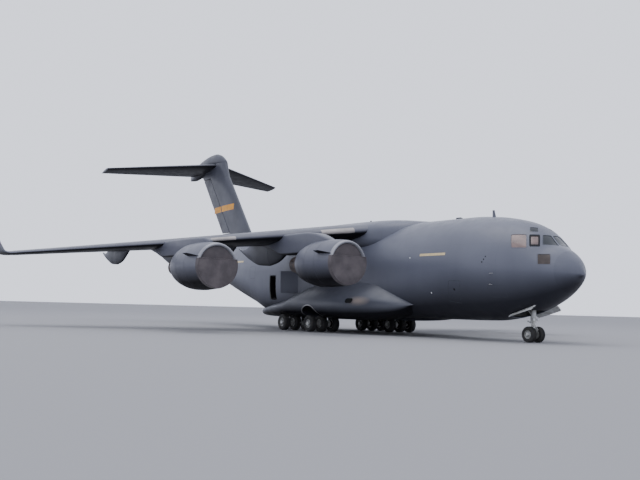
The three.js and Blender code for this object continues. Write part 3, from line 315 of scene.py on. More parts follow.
def node(tree, kind, links=None, **settings):
    """Adds a node with its settings; links gives an input by name or number a value or another output."""
    made = tree.nodes.new(kind)
    for key, value in settings.items():
        setattr(made, key, value)
    for socket, value in (links or {}).items():
        if isinstance(value, bpy.types.NodeSocket):
            tree.links.new(value, made.inputs[socket])
        else:
            made.inputs[socket].default_value = value
    return made


def surface(name, **sockets):
    """A new material, its node tree and its Principled shader with the given sockets set."""
    made = bpy.data.materials.new(name)
    made.use_nodes = True
    tree = made.node_tree
    shader = tree.nodes["Principled BSDF"]
    for socket, value in sockets.items():
        shader.inputs[socket.replace("_", " ")].default_value = value
    return made, tree, shader


def mottle(tree, shader, light, dark, size_mm, stretch=(1, 1, 1)):
    """Colour that drifts between two tones in patches of the given size; gives the place and the colour."""
    place = node(tree, "ShaderNodeTexCoord").outputs["Object"]
    spread = node(tree, "ShaderNodeMapping", {"Vector": place, "Scale": stretch})
    noise = node(tree, "ShaderNodeTexNoise",
                 {"Vector": spread.outputs[0], "Scale": 1000 / size_mm, "Detail": 6.0})
    drift = node(tree, "ShaderNodeMapRange", {"Value": noise.outputs[0], "From Min": 0.35, "From Max": 0.65})
    mix = node(tree, "ShaderNodeMix",
               {SHARE: drift.outputs[0], FIRST: linear(light), SECOND: linear(dark)}, data_type="RGBA")
    tree.links.new(mix.outputs[RESULT], shader.inputs["Base Color"])
    return place, mix.outputs[RESULT]


def vary_roughness(tree, shader, place, low, high, size_mm):
    """Roughness that drifts between two values."""
    noise = node(tree, "ShaderNodeTexNoise", {"Vector": place, "Scale": 1000 / size_mm, "Detail": 4.0})
    rough = node(tree, "ShaderNodeMapRange", {"Value": noise.outputs[0], "To Min": low, "To Max": high,
                                              "From Min": 0.3, "From Max": 0.7})
    tree.links.new(rough.outputs[0], shader.inputs["Roughness"])


def grain(tree, shader, place, size_mm, deep_mm, strength):
    """Fine relief of the given grain size and depth."""
    noise = node(tree, "ShaderNodeTexNoise", {"Vector": place, "Scale": 1000 / size_mm, "Detail": 3.0})
    bump = node(tree, "ShaderNodeBump",
                {"Height": noise.outputs[0], "Distance": deep_mm / 1000, "Strength": strength})
    tree.links.new(bump.outputs[0], shader.inputs["Normal"])


def seams(tree, place, colour, lines, width_mm, shade):
    """Panel joints over a colour: each line is a direction, its spacing and its offset in model metres."""
    masks = []
    for direction, spacing, offset in lines:
        along = node(tree, "ShaderNodeVectorMath", {0: place, 1: direction}, operation="DOT_PRODUCT")
        moved = node(tree, "ShaderNodeMath", {0: along.outputs["Value"], 1: offset}, operation="ADD")
        off = node(tree, "ShaderNodeMath", {0: moved.outputs[0], 1: spacing / 2}, operation="PINGPONG")
        mask = node(tree, "ShaderNodeMapRange", {
            "Value": off.outputs[0], "From Min": 0.25 * width_mm / 1000, "From Max": 0.5 * width_mm / 1000,
            "To Min": 1.0, "To Max": 0.0})
        masks.append(mask.outputs[0])
    total = masks[0]
    for mask in masks[1:]:
        total = node(tree, "ShaderNodeMath", {0: total, 1: mask}, operation="MAXIMUM").outputs[0]
    share = node(tree, "ShaderNodeMath", {0: total, 1: shade}, operation="MULTIPLY")
    lined = node(tree, "ShaderNodeMix",
                 {SHARE: share.outputs[0], FIRST: colour, SECOND: linear("23262a")}, data_type="RGBA")
    return lined.outputs[RESULT]


def dirt_and_shade_underside(tree, shader, colour, share):
    """Painted shade, with some oil and road dirt: a matt dark coat over the given colour on faces that look
    down.
    """
    facing = node(tree, "ShaderNodeNewGeometry")
    height = node(tree, "ShaderNodeSeparateXYZ", {0: facing.outputs["Normal"]}).outputs["Z"]
    down = node(tree, "ShaderNodeMapRange",
                {"Value": height, "From Min": -0.03, "From Max": -0.7, "To Max": share})
    dirt_and_shade_mix = node(tree, "ShaderNodeMix",
                {SHARE: down.outputs[0], FIRST: colour, SECOND: linear("121115")}, data_type="RGBA")
    gloss = node(tree, "ShaderNodeMapRange", {"Value": down.outputs[0], "To Min": 0.48, "To Max": 0.04})
    tree.links.new(dirt_and_shade_mix.outputs[RESULT], shader.inputs["Base Color"])
    tree.links.new(gloss.outputs[0], shader.inputs["Specular IOR Level"])


def grey_topcoat(name, light, dark, lines=(), streaks=(1, 1, 1), rough=(0.31, 0.45), dirt_and_shade=0.97):
    """Matt polyurethane topcoat, sprayed on aluminium: an even grey that weather has left slightly patchy."""
    made, tree, shader = surface(name, IOR=1.48)
    place, colour = mottle(tree, shader, light, dark, 900, streaks)
    if lines:
        colour = seams(tree, place, colour, lines, width_mm=9, shade=0.16)
    # Faces that look down turn near-black: painted shade, with some road dirt
    dirt_and_shade_underside(tree, shader, colour, dirt_and_shade)
    vary_roughness(tree, shader, place, *rough, size_mm=350)
    grain(tree, shader, place, size_mm=12, deep_mm=0.25, strength=0.35)
    return made


def finish(name, light, dark, patch_mm, rough=None, relief=None, stretch=(1, 1, 1), dirt_and_shade=0.0, **sockets):
    """A finish of two tones; rough is two values and a patch size, relief is size, depth and strength."""
    made, tree, shader = surface(name, **sockets)
    place, colour = mottle(tree, shader, light, dark, patch_mm, stretch)
    # Faces that look down darken by the given share: painted shade, with some road dirt
    if dirt_and_shade:
        dirt_and_shade_underside(tree, shader, colour, dirt_and_shade)
    if rough:
        vary_roughness(tree, shader, place, *rough)
    if relief:
        grain(tree, shader, place, *relief)
    return made


def painted_highlight_patch(made, centre, size, tint, share):
    """Soft lighter patch over a paint, a painted highlight: its centre and its reach in model metres."""
    tree = made.node_tree
    colour = tree.nodes["Principled BSDF"].inputs["Base Color"]
    place = node(tree, "ShaderNodeTexCoord")
    off = node(tree, "ShaderNodeVectorMath", {0: place.outputs["Object"], 1: centre}, operation="SUBTRACT")
    reach = node(tree, "ShaderNodeVectorMath", {0: off.outputs[0], 1: size}, operation="DIVIDE")
    far = node(tree, "ShaderNodeVectorMath", {0: reach.outputs[0]}, operation="LENGTH")
    soft = node(tree, "ShaderNodeMapRange",
                {"Value": far.outputs["Value"], "From Min": 0.2, "To Min": share, "To Max": 0.0})
    under = colour.links[0].from_socket
    mix = node(tree, "ShaderNodeMix",
               {SHARE: soft.outputs[0], FIRST: under, SECOND: linear(tint)}, data_type="RGBA")
    tree.links.new(mix.outputs[RESULT], colour)


# The body's joints stand 1.9 m apart on the model. All are drawn 9 mm wide, coarser than real, to show.
BODY_LINES = [((1, 0, 0), 1.9, 0.35), ((0, 0, 1), 40.0, -3.02)]
WING_LINES = [((0, 1, 0), 1.62, 0.2)]
TAIL_LINES = [((0, 0, 1), 1.55, 0.5)]
# Every grey topcoat turns near-black on faces that look down: painted shade, with some road dirt
PAINT = {
    "body": grey_topcoat("grey_topcoat_body", "5c5f6b", "545763", BODY_LINES, (0.5, 1, 0.25), dirt_and_shade=0.8),
    "wing": grey_topcoat("grey_topcoat_wing", "52545f", "4b4d58", WING_LINES, (1, 0.3, 1), dirt_and_shade=0.95),
    # Painted shade: the tail's copy of the one grey is darker, for the shade on the fin and tailplane
    "tail": grey_topcoat("grey_topcoat_tail", "43454f", "3c3e47", TAIL_LINES, (1, 1, 0.3), dirt_and_shade=0.85),
    "cowl": grey_topcoat("grey_topcoat_cowl", "585a65", "50525d", (), (0.3, 1, 1), (0.34, 0.48), dirt_and_shade=0.98),
    # Painted shade: the pods' copy of the one grey is darker, for the shade that the nacelles and wing cast
    # on them
    "pod": grey_topcoat("grey_topcoat_pod", "4d505a", "454750", (), (0.3, 1, 1), dirt_and_shade=0.93),
    "plain": grey_topcoat("grey_topcoat_plain", "50525d", "4a4c57"),
}

# Painted highlight on the right pod: a light tan streak along its ridge, reaching forward from the power
# unit's inlet
painted_highlight_patch(PAINT["pod"], centre=(5.285, -2.27, 1.18), size=(0.55, 0.6, 0.19), tint="8b817b", share=0.9)

PAINT.update(
    # Neoprene rain-erosion coating, sprayed over a fibreglass nose: a little less glossy than the topcoat,
    # and like it given painted shade with some road dirt on faces that look down
    radome=finish("erosion_coat_radome", "565965", "4f525e", 700, (0.40, 0.52, 250), dirt_and_shade=0.8, IOR=1.5),

    # Vinyl-coated canvas stretched on a foam board: a soft warm grey with a fine weave and faint creases
    canvas=finish("coated_canvas_cover", "5c5658", "494447", 420, (0.62, 0.82, 90), (5, 0.6, 0.6),
                  IOR=1.45, Specular_IOR_Level=0.3, Sheen_Weight=0.15),

    # The cover's set-back board: the same cloth, a little darker and less glossy, painted shade for the
    # recess it sits in
    canvas_back=finish("shaded_canvas_cover", "585254", "494548", 420, (0.7, 0.85, 90), (5, 0.6, 0.6),
                       IOR=1.45, Specular_IOR_Level=0.25, Sheen_Weight=0.1),

    # Engine intake lip, spun aluminium that rain and dust have etched: a pale, soft ring round the cover
    lip=finish("etched_lip_aluminium", "93949a", "7e7f86", 160, (0.42, 0.56, 80), stretch=(1, 0.3, 0.3),
               Metallic=0.3),

    # Bare aluminium alloy, polished once and dulled by rain: a pale soft metal
    aluminium=finish("dulled_aluminium", "b4b3b4", "9a9a9c", 120, (0.30, 0.48, 60), stretch=(1, 0.2, 1),
                     Metallic=0.85),

    # Anti-icing leading edge skin, etched aluminium: flat and pale, scarcely a mirror
    edge=finish("etched_aluminium_edge", "9c9795", "898583", 200, (0.42, 0.58, 90), stretch=(1, 0.2, 1),
                Metallic=0.35),

    # Titanium and nickel alloy sheet, browned by heat and sooted: dark, brushed by hand
    titanium=finish("heat_stained_titanium", "54453d", "332d2f", 180, (0.42, 0.58, 40), stretch=(0.4, 1, 1),
                    Metallic=0.9),

    # Tyre rubber, moulded: black, greyed by dust, never glossy
    rubber=finish("tyre_rubber", "26262a", "34332f", 90, (0.72, 0.9, 30), (4, 0.5, 0.5),
                  IOR=1.52, Specular_IOR_Level=0.35),

    # White epoxy enamel on forged steel legs: glossy, with a film of grease and dust
    leg=finish("white_enamel_leg", "c6c8c8", "a5a49e", 160, (0.24, 0.4, 60), IOR=1.5, Coat_Weight=0.25),

    # Hard chrome on the oleo pistons: a clean mirror
    chrome=finish("hard_chrome", "d2d4d6", "bfc1c4", 80, Metallic=1.0, Roughness=0.12),

    # Forged magnesium alloy wheel hubs, painted silver grey: satin, dusty in the corners
    hub=finish("hub_paint", "9b9c9a", "7c7b76", 60, (0.38, 0.55, 25), IOR=1.5, Metallic=0.25),

    # Black rubber seals and glazing strips, extruded: matt
    seal=finish("black_rubber_seal", "1b1c1f", "26272a", 40, (0.5, 0.7, 20),
                IOR=1.5, Specular_IOR_Level=0.12),

    # Panel joints and shut lines, filled with a dark sealant
    joint=finish("joint_sealant", "464a50", "3b3e43", 60, (0.6, 0.75, 30), IOR=1.5, Specular_IOR_Level=0.25),

    # Side windows: acrylic with a vacuum-coated gold film, tan from outside and mirror-like
    gold_glass=finish("gold_film_acrylic", "77625d", "4f4241", 420, (0.18, 0.30, 200), stretch=(1, 1, 1.6),
                      IOR=1.49, Coat_Weight=0.5, Coat_Roughness=0.1, Metallic=0.2),

    # Low side window: smoked acrylic, brown from outside, with dust on it
    smoked_glass=finish("smoked_acrylic", "453c38", "332c29", 300, (0.3, 0.45, 150),
                        IOR=1.49, Specular_IOR_Level=0.3),

    # Windscreen: laminated glass over a dark flight deck, a smooth dark mirror
    glass=finish("laminated_glass", "22282e", "1a1f24", 300,
                 IOR=1.52, Specular_IOR_Level=0.35, Roughness=0.08),

    # Signal yellow enamel of the fin band: smoother than the topcoat, faded by the sun
    yellow=finish("yellow_enamel_band", "e09a14", "cb880f", 300, (0.36, 0.5, 120), IOR=1.5),

    # Formation light strips: electroluminescent film behind clear plastic, a flat pale buff
    strip=finish("formation_strip_film", "c9b483", "b9a577", 120, (0.35, 0.45, 60),
                 IOR=1.49, Coat_Weight=0.4, Coat_Roughness=0.2),

    # Inner side of the skin and the bays: chromate-free primer, brushed and dusty
    inside=finish("pale_primer_inside", "84877f", "6e716a", 500, (0.55, 0.7, 200),
                  IOR=1.48, Specular_IOR_Level=0.3),

    # Wheel bays: white enamel painted dark grey, partly brake dust and grease and partly painted shade for
    # the shade inside the bays
    bay=finish("sooted_and_shaded_enamel_bay", "5f605c", "3c3c3a", 300, (0.55, 0.75, 120),
               IOR=1.48, Specular_IOR_Level=0.3),

    # Painted shade: matt near-black for the dark inside of openings, on the power unit's inlet and the troop
    # doorway's lining
    black=finish("painted_shade_black", "101113", "18191b", 60, (0.7, 0.85, 40),
                 IOR=1.45, Specular_IOR_Level=0.2),

    # Hold and flight deck floor: extruded aluminium planks, scuffed by pallets
    deck=finish("scuffed_deck_plank", "8b8d8c", "6c6e6d", 140, (0.42, 0.6, 60), stretch=(0.2, 1, 1),
                Metallic=0.6),

    # Lamp glasses: cast clear and red, smooth, with a little haze from dust
    clear_lens=finish("clear_lens", "dfe3e6", "c3c7ca", 30,
                      IOR=1.49, Coat_Weight=1.0, Coat_Roughness=0.03, Roughness=0.15),
    red_lens=finish("red_lens", "8e1512", "741010", 30,
                    IOR=1.49, Coat_Weight=1.0, Coat_Roughness=0.03, Roughness=0.15),
)


# Mesh tools

def build(name, points, faces, paint="plain"):
    """A closed mesh from real metres and faces of three or four corners, turned to face outwards."""
    points = np.asarray(points, float)
    model = np.column_stack([MIDDLE - points[:, 0], points[:, 1], points[:, 2]]) * SCALE
    volume = 0.0
    for count in (3, 4):
        group = np.array([f for f in faces if len(f) == count], int)
        if len(group):
            for k in range(1, count - 1):
                a, b, c = (model[group[:, i]] for i in (0, k, k + 1))
                volume += np.einsum("ij,ij->", a, np.cross(b, c))
    if volume < 0:
        faces = [tuple(reversed(f)) for f in faces]
    mesh = bpy.data.meshes.new(name)
    mesh.from_pydata(model.tolist(), [], [tuple(int(i) for i in f) for f in faces])
    mesh.materials.append(PAINT[paint])
    made = bpy.data.objects.new(name, mesh)
    bpy.context.scene.collection.objects.link(made)
    return made


def loft(name, rings, paint="plain", loop=False):
    """Skin over rings of equal length: its ends closed by fans, or joined to each other."""
    rings = np.asarray(rings, float)
    count, size = rings.shape[:2]
    rows = np.arange(count if loop else count - 1)[:, None] * size
    here = rows + np.arange(size)
    beside = rows + np.roll(np.arange(size), -1)
    step = np.full_like(here, size)
    if loop:
        step[-1] = -size * (count - 1)
    quads = np.stack([here, beside, beside + step, here + step], axis=-1).reshape(-1, 4)
    faces = [tuple(f) for f in quads]
    points = rings.reshape(-1, 3)
    if not loop:
        first, last = count * size, count * size + 1
        points = np.vstack([points, rings[0].mean(axis=0), rings[-1].mean(axis=0)])
        side = np.arange(size)
        beside = np.roll(side, -1)
        faces += [(first, b, a) for a, b in zip(side, beside)]
        start = (count - 1) * size
        faces += [(last, start + a, start + b) for a, b in zip(side, beside)]
    return build(name, points, faces, paint)


def spin(name, origin, axis, outline, sides=48, paint="plain", loop=False):
    """Turned solid: outline is pairs of distance along the axis and radius."""
    axis = np.asarray(axis, float) / np.linalg.norm(axis)
    helper = np.array([0, 0, 1.0]) if abs(axis[2]) < 0.9 else np.array([0, 1.0, 0])
    across = np.cross(axis, helper)
    across /= np.linalg.norm(across)
    other = np.cross(axis, across)
    angle = np.arange(sides) / sides * 2 * np.pi
    circle = np.cos(angle)[:, None] * across + np.sin(angle)[:, None] * other
    rings = [np.asarray(origin) + along * axis + max(radius, 1e-4) * circle for along, radius in outline]
    return loft(name, rings, paint, loop)


def tube(name, path, radius, sides=12, paint="plain"):
    """Round bar or pipe along a path."""
    path = np.asarray(path, float)
    rings = []
    for i, point in enumerate(path):
        ahead = path[min(i + 1, len(path) - 1)] - path[max(i - 1, 0)]
        ahead /= np.linalg.norm(ahead)
        helper = np.array([0, 1.0, 0]) if abs(ahead[1]) < 0.9 else np.array([1.0, 0, 0])
        across = np.cross(ahead, helper)
        across /= np.linalg.norm(across)
        other = np.cross(ahead, across)
        angle = np.arange(sides) / sides * 2 * np.pi
        rings.append(point + radius * (np.cos(angle)[:, None] * across + np.sin(angle)[:, None] * other))
    return loft(name, rings, paint)


def block(name, s, y, z, paint="plain"):
    """Plain box between two values each of s, y and z, for cutting."""
    ring = [(y[0], z[0]), (y[1], z[0]), (y[1], z[1]), (y[0], z[1])]
    return loft(name, [[(end, b, c) for b, c in ring] for end in s], paint)


def flip(rings, side):
    """Rings of the left side, on the given side."""
    return np.asarray(rings, float) * (1, side, 1)


def carve(target, tools, mode="DIFFERENCE"):
    """Cuts with closed meshes, or keeps only what is inside them, and removes the tools."""
    for tool in tools:
        cut = target.modifiers.new("cut", "BOOLEAN")
        cut.operation = mode
        cut.object = tool
        cut.solver = "MANIFOLD"
        bpy.context.view_layer.update()
        seen = target.evaluated_get(bpy.context.evaluated_depsgraph_get())
        mesh = bpy.data.meshes.new_from_object(seen)
        target.modifiers.clear()
        old = target.data
        target.data = mesh
        bpy.data.meshes.remove(old)
    for tool in tools:
        bpy.data.objects.remove(tool)
    return target


def join(name, parts):
    """One object from several."""
    bpy.ops.object.select_all(action="DESELECT")
    for part in parts:
        part.select_set(True)
    bpy.context.view_layer.objects.active = parts[0]
    bpy.ops.object.join()
    parts[0].name = name
    parts[0].data.name = name
    return parts[0]


def soften(target, degrees):
    """Smooth shading, with edges sharper than the angle left crisp."""
    mesh = bmesh.new()
    mesh.from_mesh(target.data)
    bmesh.ops.dissolve_degenerate(mesh, dist=1e-6, edges=mesh.edges)
    limit = math.radians(degrees)
    for face in mesh.faces:
        face.smooth = True
    for edge in mesh.edges:
        edge.smooth = len(edge.link_faces) == 2 and edge.calc_face_angle(0) < limit
    mesh.to_mesh(target.data)
    mesh.free()


def settle(target, body="airframe", nodes=(), sharp=32):
    """Finishes a piece: its shading, the body it rides on and the nodes it stands for."""
    soften(target, sharp)
    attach(target, body)
    if nodes:
        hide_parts(*nodes)


def smooth_columns(rows, scale=lambda value: value):
    """Smooth curves through the rows of a table, without overshoot, by its first column."""
    rows = np.array(rows, float)
    x, columns = scale(rows[:, 0]), rows[:, 1:]
    gap = np.diff(x)[:, None]
    slope = np.diff(columns, axis=0) / gap
    tangent = np.zeros_like(columns)
    before, after = 2 * gap[1:] + gap[:-1], gap[1:] + 2 * gap[:-1]
    with np.errstate(divide="ignore", invalid="ignore"):
        mean = (before + after) / (before / slope[:-1] + after / slope[1:])
    tangent[1:-1] = np.where(slope[:-1] * slope[1:] > 0, mean, 0)
    tangent[0], tangent[-1] = slope[0], slope[-1]

    def value(place):
        u = np.atleast_1d(scale(np.asarray(place, float)))
        i = np.clip(np.searchsorted(x, u, side="right") - 1, 0, len(gap) - 1)
        h = gap[i]
        t = ((u - x[i])[:, None]) / h
        return ((2 * t**3 - 3 * t**2 + 1) * columns[i] + (t**3 - 2 * t**2 + t) * h * tangent[i]
                + (3 * t**2 - 2 * t**3) * columns[i + 1] + (t**3 - t**2) * h * tangent[i + 1])
    return value


# Body surface

body = smooth_columns(BODY, lambda s: np.sqrt(np.maximum(s - NOSE, 0)))
BODY_SIDES = 176
INNER_SIDES = 56


def evenly(y, z, parts):
    """A line of points drawn again with points at equal distances along it."""
    way = np.concatenate([[0], np.cumsum(np.hypot(np.diff(y), np.diff(z)))])
    even = np.linspace(0, way[-1], parts + 1)
    return np.interp(even, way, y), np.interp(even, way, z)


def body_ring(s, count, inset=0.0):
    """Section of the body with even points, from the top down the left side and back up the right."""
    top, bottom, half, middle, square = body(s)[0]
    angle = np.linspace(0, np.pi, 721)
    across, rise = np.sin(angle), np.cos(angle)
    low = rise < 0
    power = np.where(low, 2 / square, 1.0)
    y = np.abs(across) ** power * (half - inset)
    tall = np.where(low, middle - bottom, top - middle) - inset
    z = middle + np.sign(rise) * np.abs(rise) ** power * tall
    y, z = evenly(y, z, count // 2)
    y[[0, -1]] = 0
    y, z = np.concatenate([y, -y[-2:0:-1]]), np.concatenate([z, z[-2:0:-1]])
    return np.column_stack([np.full(count, s), y, z])


def body_block(name, start, end, inset=0.0, count=BODY_SIDES, spacing=0.17, paint="body"):
    """Closed length of the body, its rings close together at the nose and far apart where it is straight."""
    stations = [start]
    while stations[-1] < end - 1e-6:
        s = stations[-1]
        step = spacing * (3.0 if STRAIGHT_START <= s < CENTRE_END else 1.0)
        if s < NOSE + 1.2:
            step = min(step, max(0.012, 0.16 * (s - NOSE)))
        after = s + step
        for stop in (STRAIGHT_START, CENTRE_END):
            if s < stop - 1e-6 and after > stop:
                after = stop
        stations.append(end if after > end - step * 0.4 else after)
    return loft(name, [body_ring(s, count, inset) for s in stations], paint)


def body_value(points):
    """Below zero inside the body and above zero outside."""
    s, y, z = np.asarray(points, float).T
    top, bottom, half, middle, square = body(np.clip(s, NOSE + 0.0005, TAIL_END)).T
    high = z >= middle
    power = np.where(high, 2.0, square)
    tall = np.where(high, top - middle, middle - bottom)
    return (np.abs(y) / half) ** power + (np.abs(z - middle) / tall) ** power - 1


def body_normal(points):
    """Unit vectors away from the body."""
    points = np.asarray(points, float)
    slope = np.column_stack([
        body_value(points + step) - body_value(points - step) for step in np.eye(3) * 0.004])
    return slope / np.linalg.norm(slope, axis=1)[:, None]


def cast(points, origin):
    """Where the rays from a point inside through the given points leave the body."""
    points, origin = np.asarray(points, float), np.asarray(origin, float)
    low, high = np.full(len(points), 0.1), np.full(len(points), 3.0)
    for _ in range(40):
        middle = (low + high) / 2
        inside = body_value(origin + (points - origin) * middle[:, None]) < 0
        low, high = np.where(inside, middle, low), np.where(inside, high, middle)
    return origin + (points - origin) * low[:, None]


def skin_y(s, z):
    """Distance of the skin from the centre plane at a station and height."""
    top, bottom, half, middle, square = body(s).T
    high = z >= middle
    power = np.where(high, 2.0, square)
    share = np.abs(z - middle) / np.where(high, top - middle, middle - bottom)
    return half * (1 - np.clip(share, 0, 1) ** power) ** (1 / power)


def on_side(side):
    """Surface of one side of the body: s and z give a point, depth lies below the skin."""
    def place(s, z, depth):
        points = np.column_stack([s, side * skin_y(s, z), z])
        return points - body_normal(points) * depth
    return place


def on_crown(s, y, depth):
    """Surface of the body's top: s and y give a point."""
    top, _, half, middle, _ = body(s).T
    points = np.column_stack([s, y, middle + (top - middle) * np.sqrt(np.clip(1 - (y / half) ** 2, 0, 1))])
    return points - body_normal(points) * depth


def through_pane(corners, side):
    """Surface of a window: u and v from 0 to 1 across its four corners, set on the body."""
    a, b, c, d = (np.array(corner) * (1, side, 1) for corner in corners)

    def place(u, v, depth):
        u, v = u[:, None], v[:, None]
        flat = (1 - u) * (1 - v) * a + (1 - u) * v * b + u * v * c + u * (1 - v) * d
        points = cast(flat, WINDOW_FOCUS)
        return points - body_normal(points) * depth
    return place


# Plates that follow a surface

def rounded(u0, u1, v0, v1, radius, steps=5):
    """Outline of a rectangle with rounded corners, as pairs of u and v."""
    u0, u1, v0, v1 = u0 + radius, u1 - radius, v0 + radius, v1 - radius
    outline = []
    for quarter, (u, v) in enumerate(((u1, v1), (u0, v1), (u0, v0), (u1, v0))):
        for k in range(steps + 1):
            angle = (quarter + k / steps) * np.pi / 2
            outline.append((u + radius * np.cos(angle), v + radius * np.sin(angle)))
    return np.array(outline)


def dense(outline, step):
    """The same outline with points no further apart than step."""
    points = []
    for a, b in zip(outline, np.roll(outline, -1, axis=0)):
        count = max(1, int(np.ceil(np.linalg.norm(b - a) / step)))
        points += [a + (b - a) * k / count for k in range(count)]
    return np.array(points)


def plate(name, outline, place, out, deep, paint, levels=5):
    """Closed plate inside an outline, between two depths of a surface."""
    centre = outline.mean(axis=0)
    loops = [centre + (outline - centre) * (1 - k / levels) for k in range(levels)]
    flat = np.vstack(loops + [centre[None]])
    size, total = len(outline), len(flat)
    points = np.vstack([place(flat[:, 0], flat[:, 1], depth) for depth in (out, deep)])
    faces = []
    side = np.arange(size)
    beside = np.roll(side, -1)
    for k in range(levels - 1):
        for a, b in zip(side + k * size, beside + k * size):
            faces += [(a, b, b + size, a + size), (a + size + total, b + size + total, b + total, a + total)]
    start = (levels - 1) * size
    for a, b in zip(side, beside):
        faces += [(start + a, start + b, total - 1), (2 * total - 1, start + b + total, start + a + total)]
        faces.append((b, a, a + total, b + total))
    return build(name, points, faces, paint)


def rim(name, inner, outer, place, out, deep, paint):
    """Closed strip between two outlines of equal length, between two depths of a surface."""
    rings = [place(loop[:, 0], loop[:, 1], depth) for loop, depth in
             ((inner, out), (outer, out), (outer, deep), (inner, deep))]
    return loft(name, np.array(rings), paint, loop=True)


def shut_line(outline, side, width):
    """Narrow dark line round a panel on one side of the body."""
    inner = dense(outline, 0.25)
    ahead, behind = np.roll(inner, -1, axis=0), np.roll(inner, 1, axis=0)
    along = ahead - behind
    along /= np.linalg.norm(along, axis=1)[:, None]
    away = np.column_stack([along[:, 1], -along[:, 0]])
    centre = inner.mean(axis=0)
    if np.einsum("ij,ij->", away, inner - centre) < 0:
        away = -away
    return rim("line", inner, inner + away * width, on_side(side), -0.002, 0.01, "joint")


# Section of a cap: height and radius as shares of its own
DOME = [(-0.5, 1.0), (0.0, 1.0), (0.3, 0.95), (0.6, 0.78), (0.85, 0.5), (1.0, 0.0)]


def dome(name, point, normal, radius, height, paint):
    """Low round cap that stands on a surface."""
    return spin(name, point, normal, [(a * height, r * radius) for a, r in DOME], 20, paint)


# Fuselage. Cutting blocks reach past what they cut, so their far ends are round numbers.

def box_tool(door, side, y0, y1, grow, radius):
    """Cutting block for a doorway, its corners rounded."""
    outline = rounded(door["start"] - grow, door["end"] + grow, door["low"] - grow, door["high"] + grow,
                      max(radius + grow, 1e-3))
    return loft("tool", flip([[(s, y, z) for s, z in outline] for y in (y0, y1)], side), "inside")


def window_tool(corners, side):
    """Cutting block for a window, narrowing towards the point that the corners are cast from."""
    outline = rounded(0, 1, 0, 1, 0.09)
    place = through_pane(corners, side)
    skin = place(outline[:, 0], outline[:, 1], 0.0)
    focus = np.array(WINDOW_FOCUS)
    return loft("window_tool", [focus + (skin - focus) * reach for reach in (0.78, 1.15)], "seal")


def make_nose():
    """Radome, forward body with its openings, and the bay of the nose gear."""
    radome = body_block("radome_shell", NOSE + 0.0006, NOSE_END - SEAM, paint="radome")
    settle(radome, nodes=("radome",))

    shell = body_block("forward_skin", NOSE_END + SEAM, FORWARD_END - SEAM)
    door, bay = CREW_DOOR, NOSE_BAY
    doorway = dict(door, start=door["start"] - CLEAR, low=door["low"] - door["sill"] + CLEAR)
    ends, sides = (bay["start"], bay["end"]), (-bay["side"], bay["side"])
    tools = [
        body_block("tool", NOSE_END + SKIN, FORWARD_END + 0.5, SKIN, INNER_SIDES, 0.5, "inside"),
        block("tool", ends, sides, (0.5, 2.0), "bay"),
        box_tool(doorway, 1, 1.0, 4.0, CLEAR, 0.12),
    ]
    tools += [window_tool(corners, side) for corners in WINDOWS.values() for _, side in SIDES]
    carve(shell, tools)
    settle(shell, nodes=("forward_fuselage",), sharp=24)

    wall = bay["wall"]
    box = block("nose_gear_bay", (ends[0] - wall, ends[1] + wall), (sides[0] - wall, sides[1] + wall),
                (1.2, bay["top"] + wall), "bay")
    hull = body_block("tool", 2.5, 6.5, SKIN * 0.5, INNER_SIDES, 0.5)
    carve(box, [hull], "INTERSECT")
    carve(box, [block("tool", ends, sides, (0.4, bay["top"]), "bay")])
    ribs = [block("rib", (s, s + 0.05), sides, (bay["top"] - 0.12, bay["top"]), "bay") for s in BAY_RIBS]
    settle(join("nose_gear_bay", [box] + ribs), sharp=20)
    make_bay_doors()


def make_bay_doors():
    """The nose bay's doors with the arms that hold them open."""
    inner, out, thick = NOSE_BAY["side"] + 0.02, BAY_DOOR["side"], BAY_DOOR["thick"]
    half = (inner + out) / 2
    for name, side in SIDES:
        rows = []
        for share, trim in BAY_DOOR["corners"]:
            s, hinge, edge = (a + (b - a) * share for a, b in zip(*BAY_DOOR["rows"]))
            middle = (hinge + edge) / 2
            rows.append([(s, inner, hinge + 0.02), (s, inner, hinge + 0.12), (s, half, middle + 0.11),
                         (s, out - trim - 0.03, edge + thick), (s, out - trim, edge + thick / 2),
                         (s, out - trim - 0.03, edge), (s, half, middle + 0.02)])
        panel = loft("panel", flip(rows, side), "leg")
        arms = [tube("arm", flip([(s, inner - 0.02, z), (s, inner + 0.35, z - 0.05)], side), 0.025, 8, "leg")
                for s, z in BAY_DOOR["arms"]]
        settle(join(f"nose_gear_door_{name}", [panel] + arms), sharp=28)


def make_windows():
    """Panes and their frames, all in shares of the window's own width and height."""
    outline = dense(rounded(0.02, 0.98, 0.02, 0.98, 0.085), 0.12)
    for key, corners in WINDOWS.items():
        glass, width, frame_paint = GLAZING[key]
        for name, side in SIDES:
            place = through_pane(corners, side)
            pane = plate(f"{key}_{name}", outline, place, 0.012, 0.05, glass)
            edges = dense_pair(*(rounded(g, 1 - g, g, 1 - g, r) for g, r in ((width, 0.07), (-0.02, 0.10))))
            surround = rim(f"{key}_frame_{name}", *edges, place, -0.006, 0.03, frame_paint)
            settle(surround)
            settle(pane, sharp=40)
    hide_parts("flight_deck_glass")


def dense_pair(a, b, parts=4):
    """Two outlines of equal length, each side split into the same number of parts."""
    share = np.arange(parts)[:, None] / parts
    return [np.vstack([p + (q - p) * share for p, q in zip(loop, np.roll(loop, -1, axis=0))])
            for loop in (a, b)]


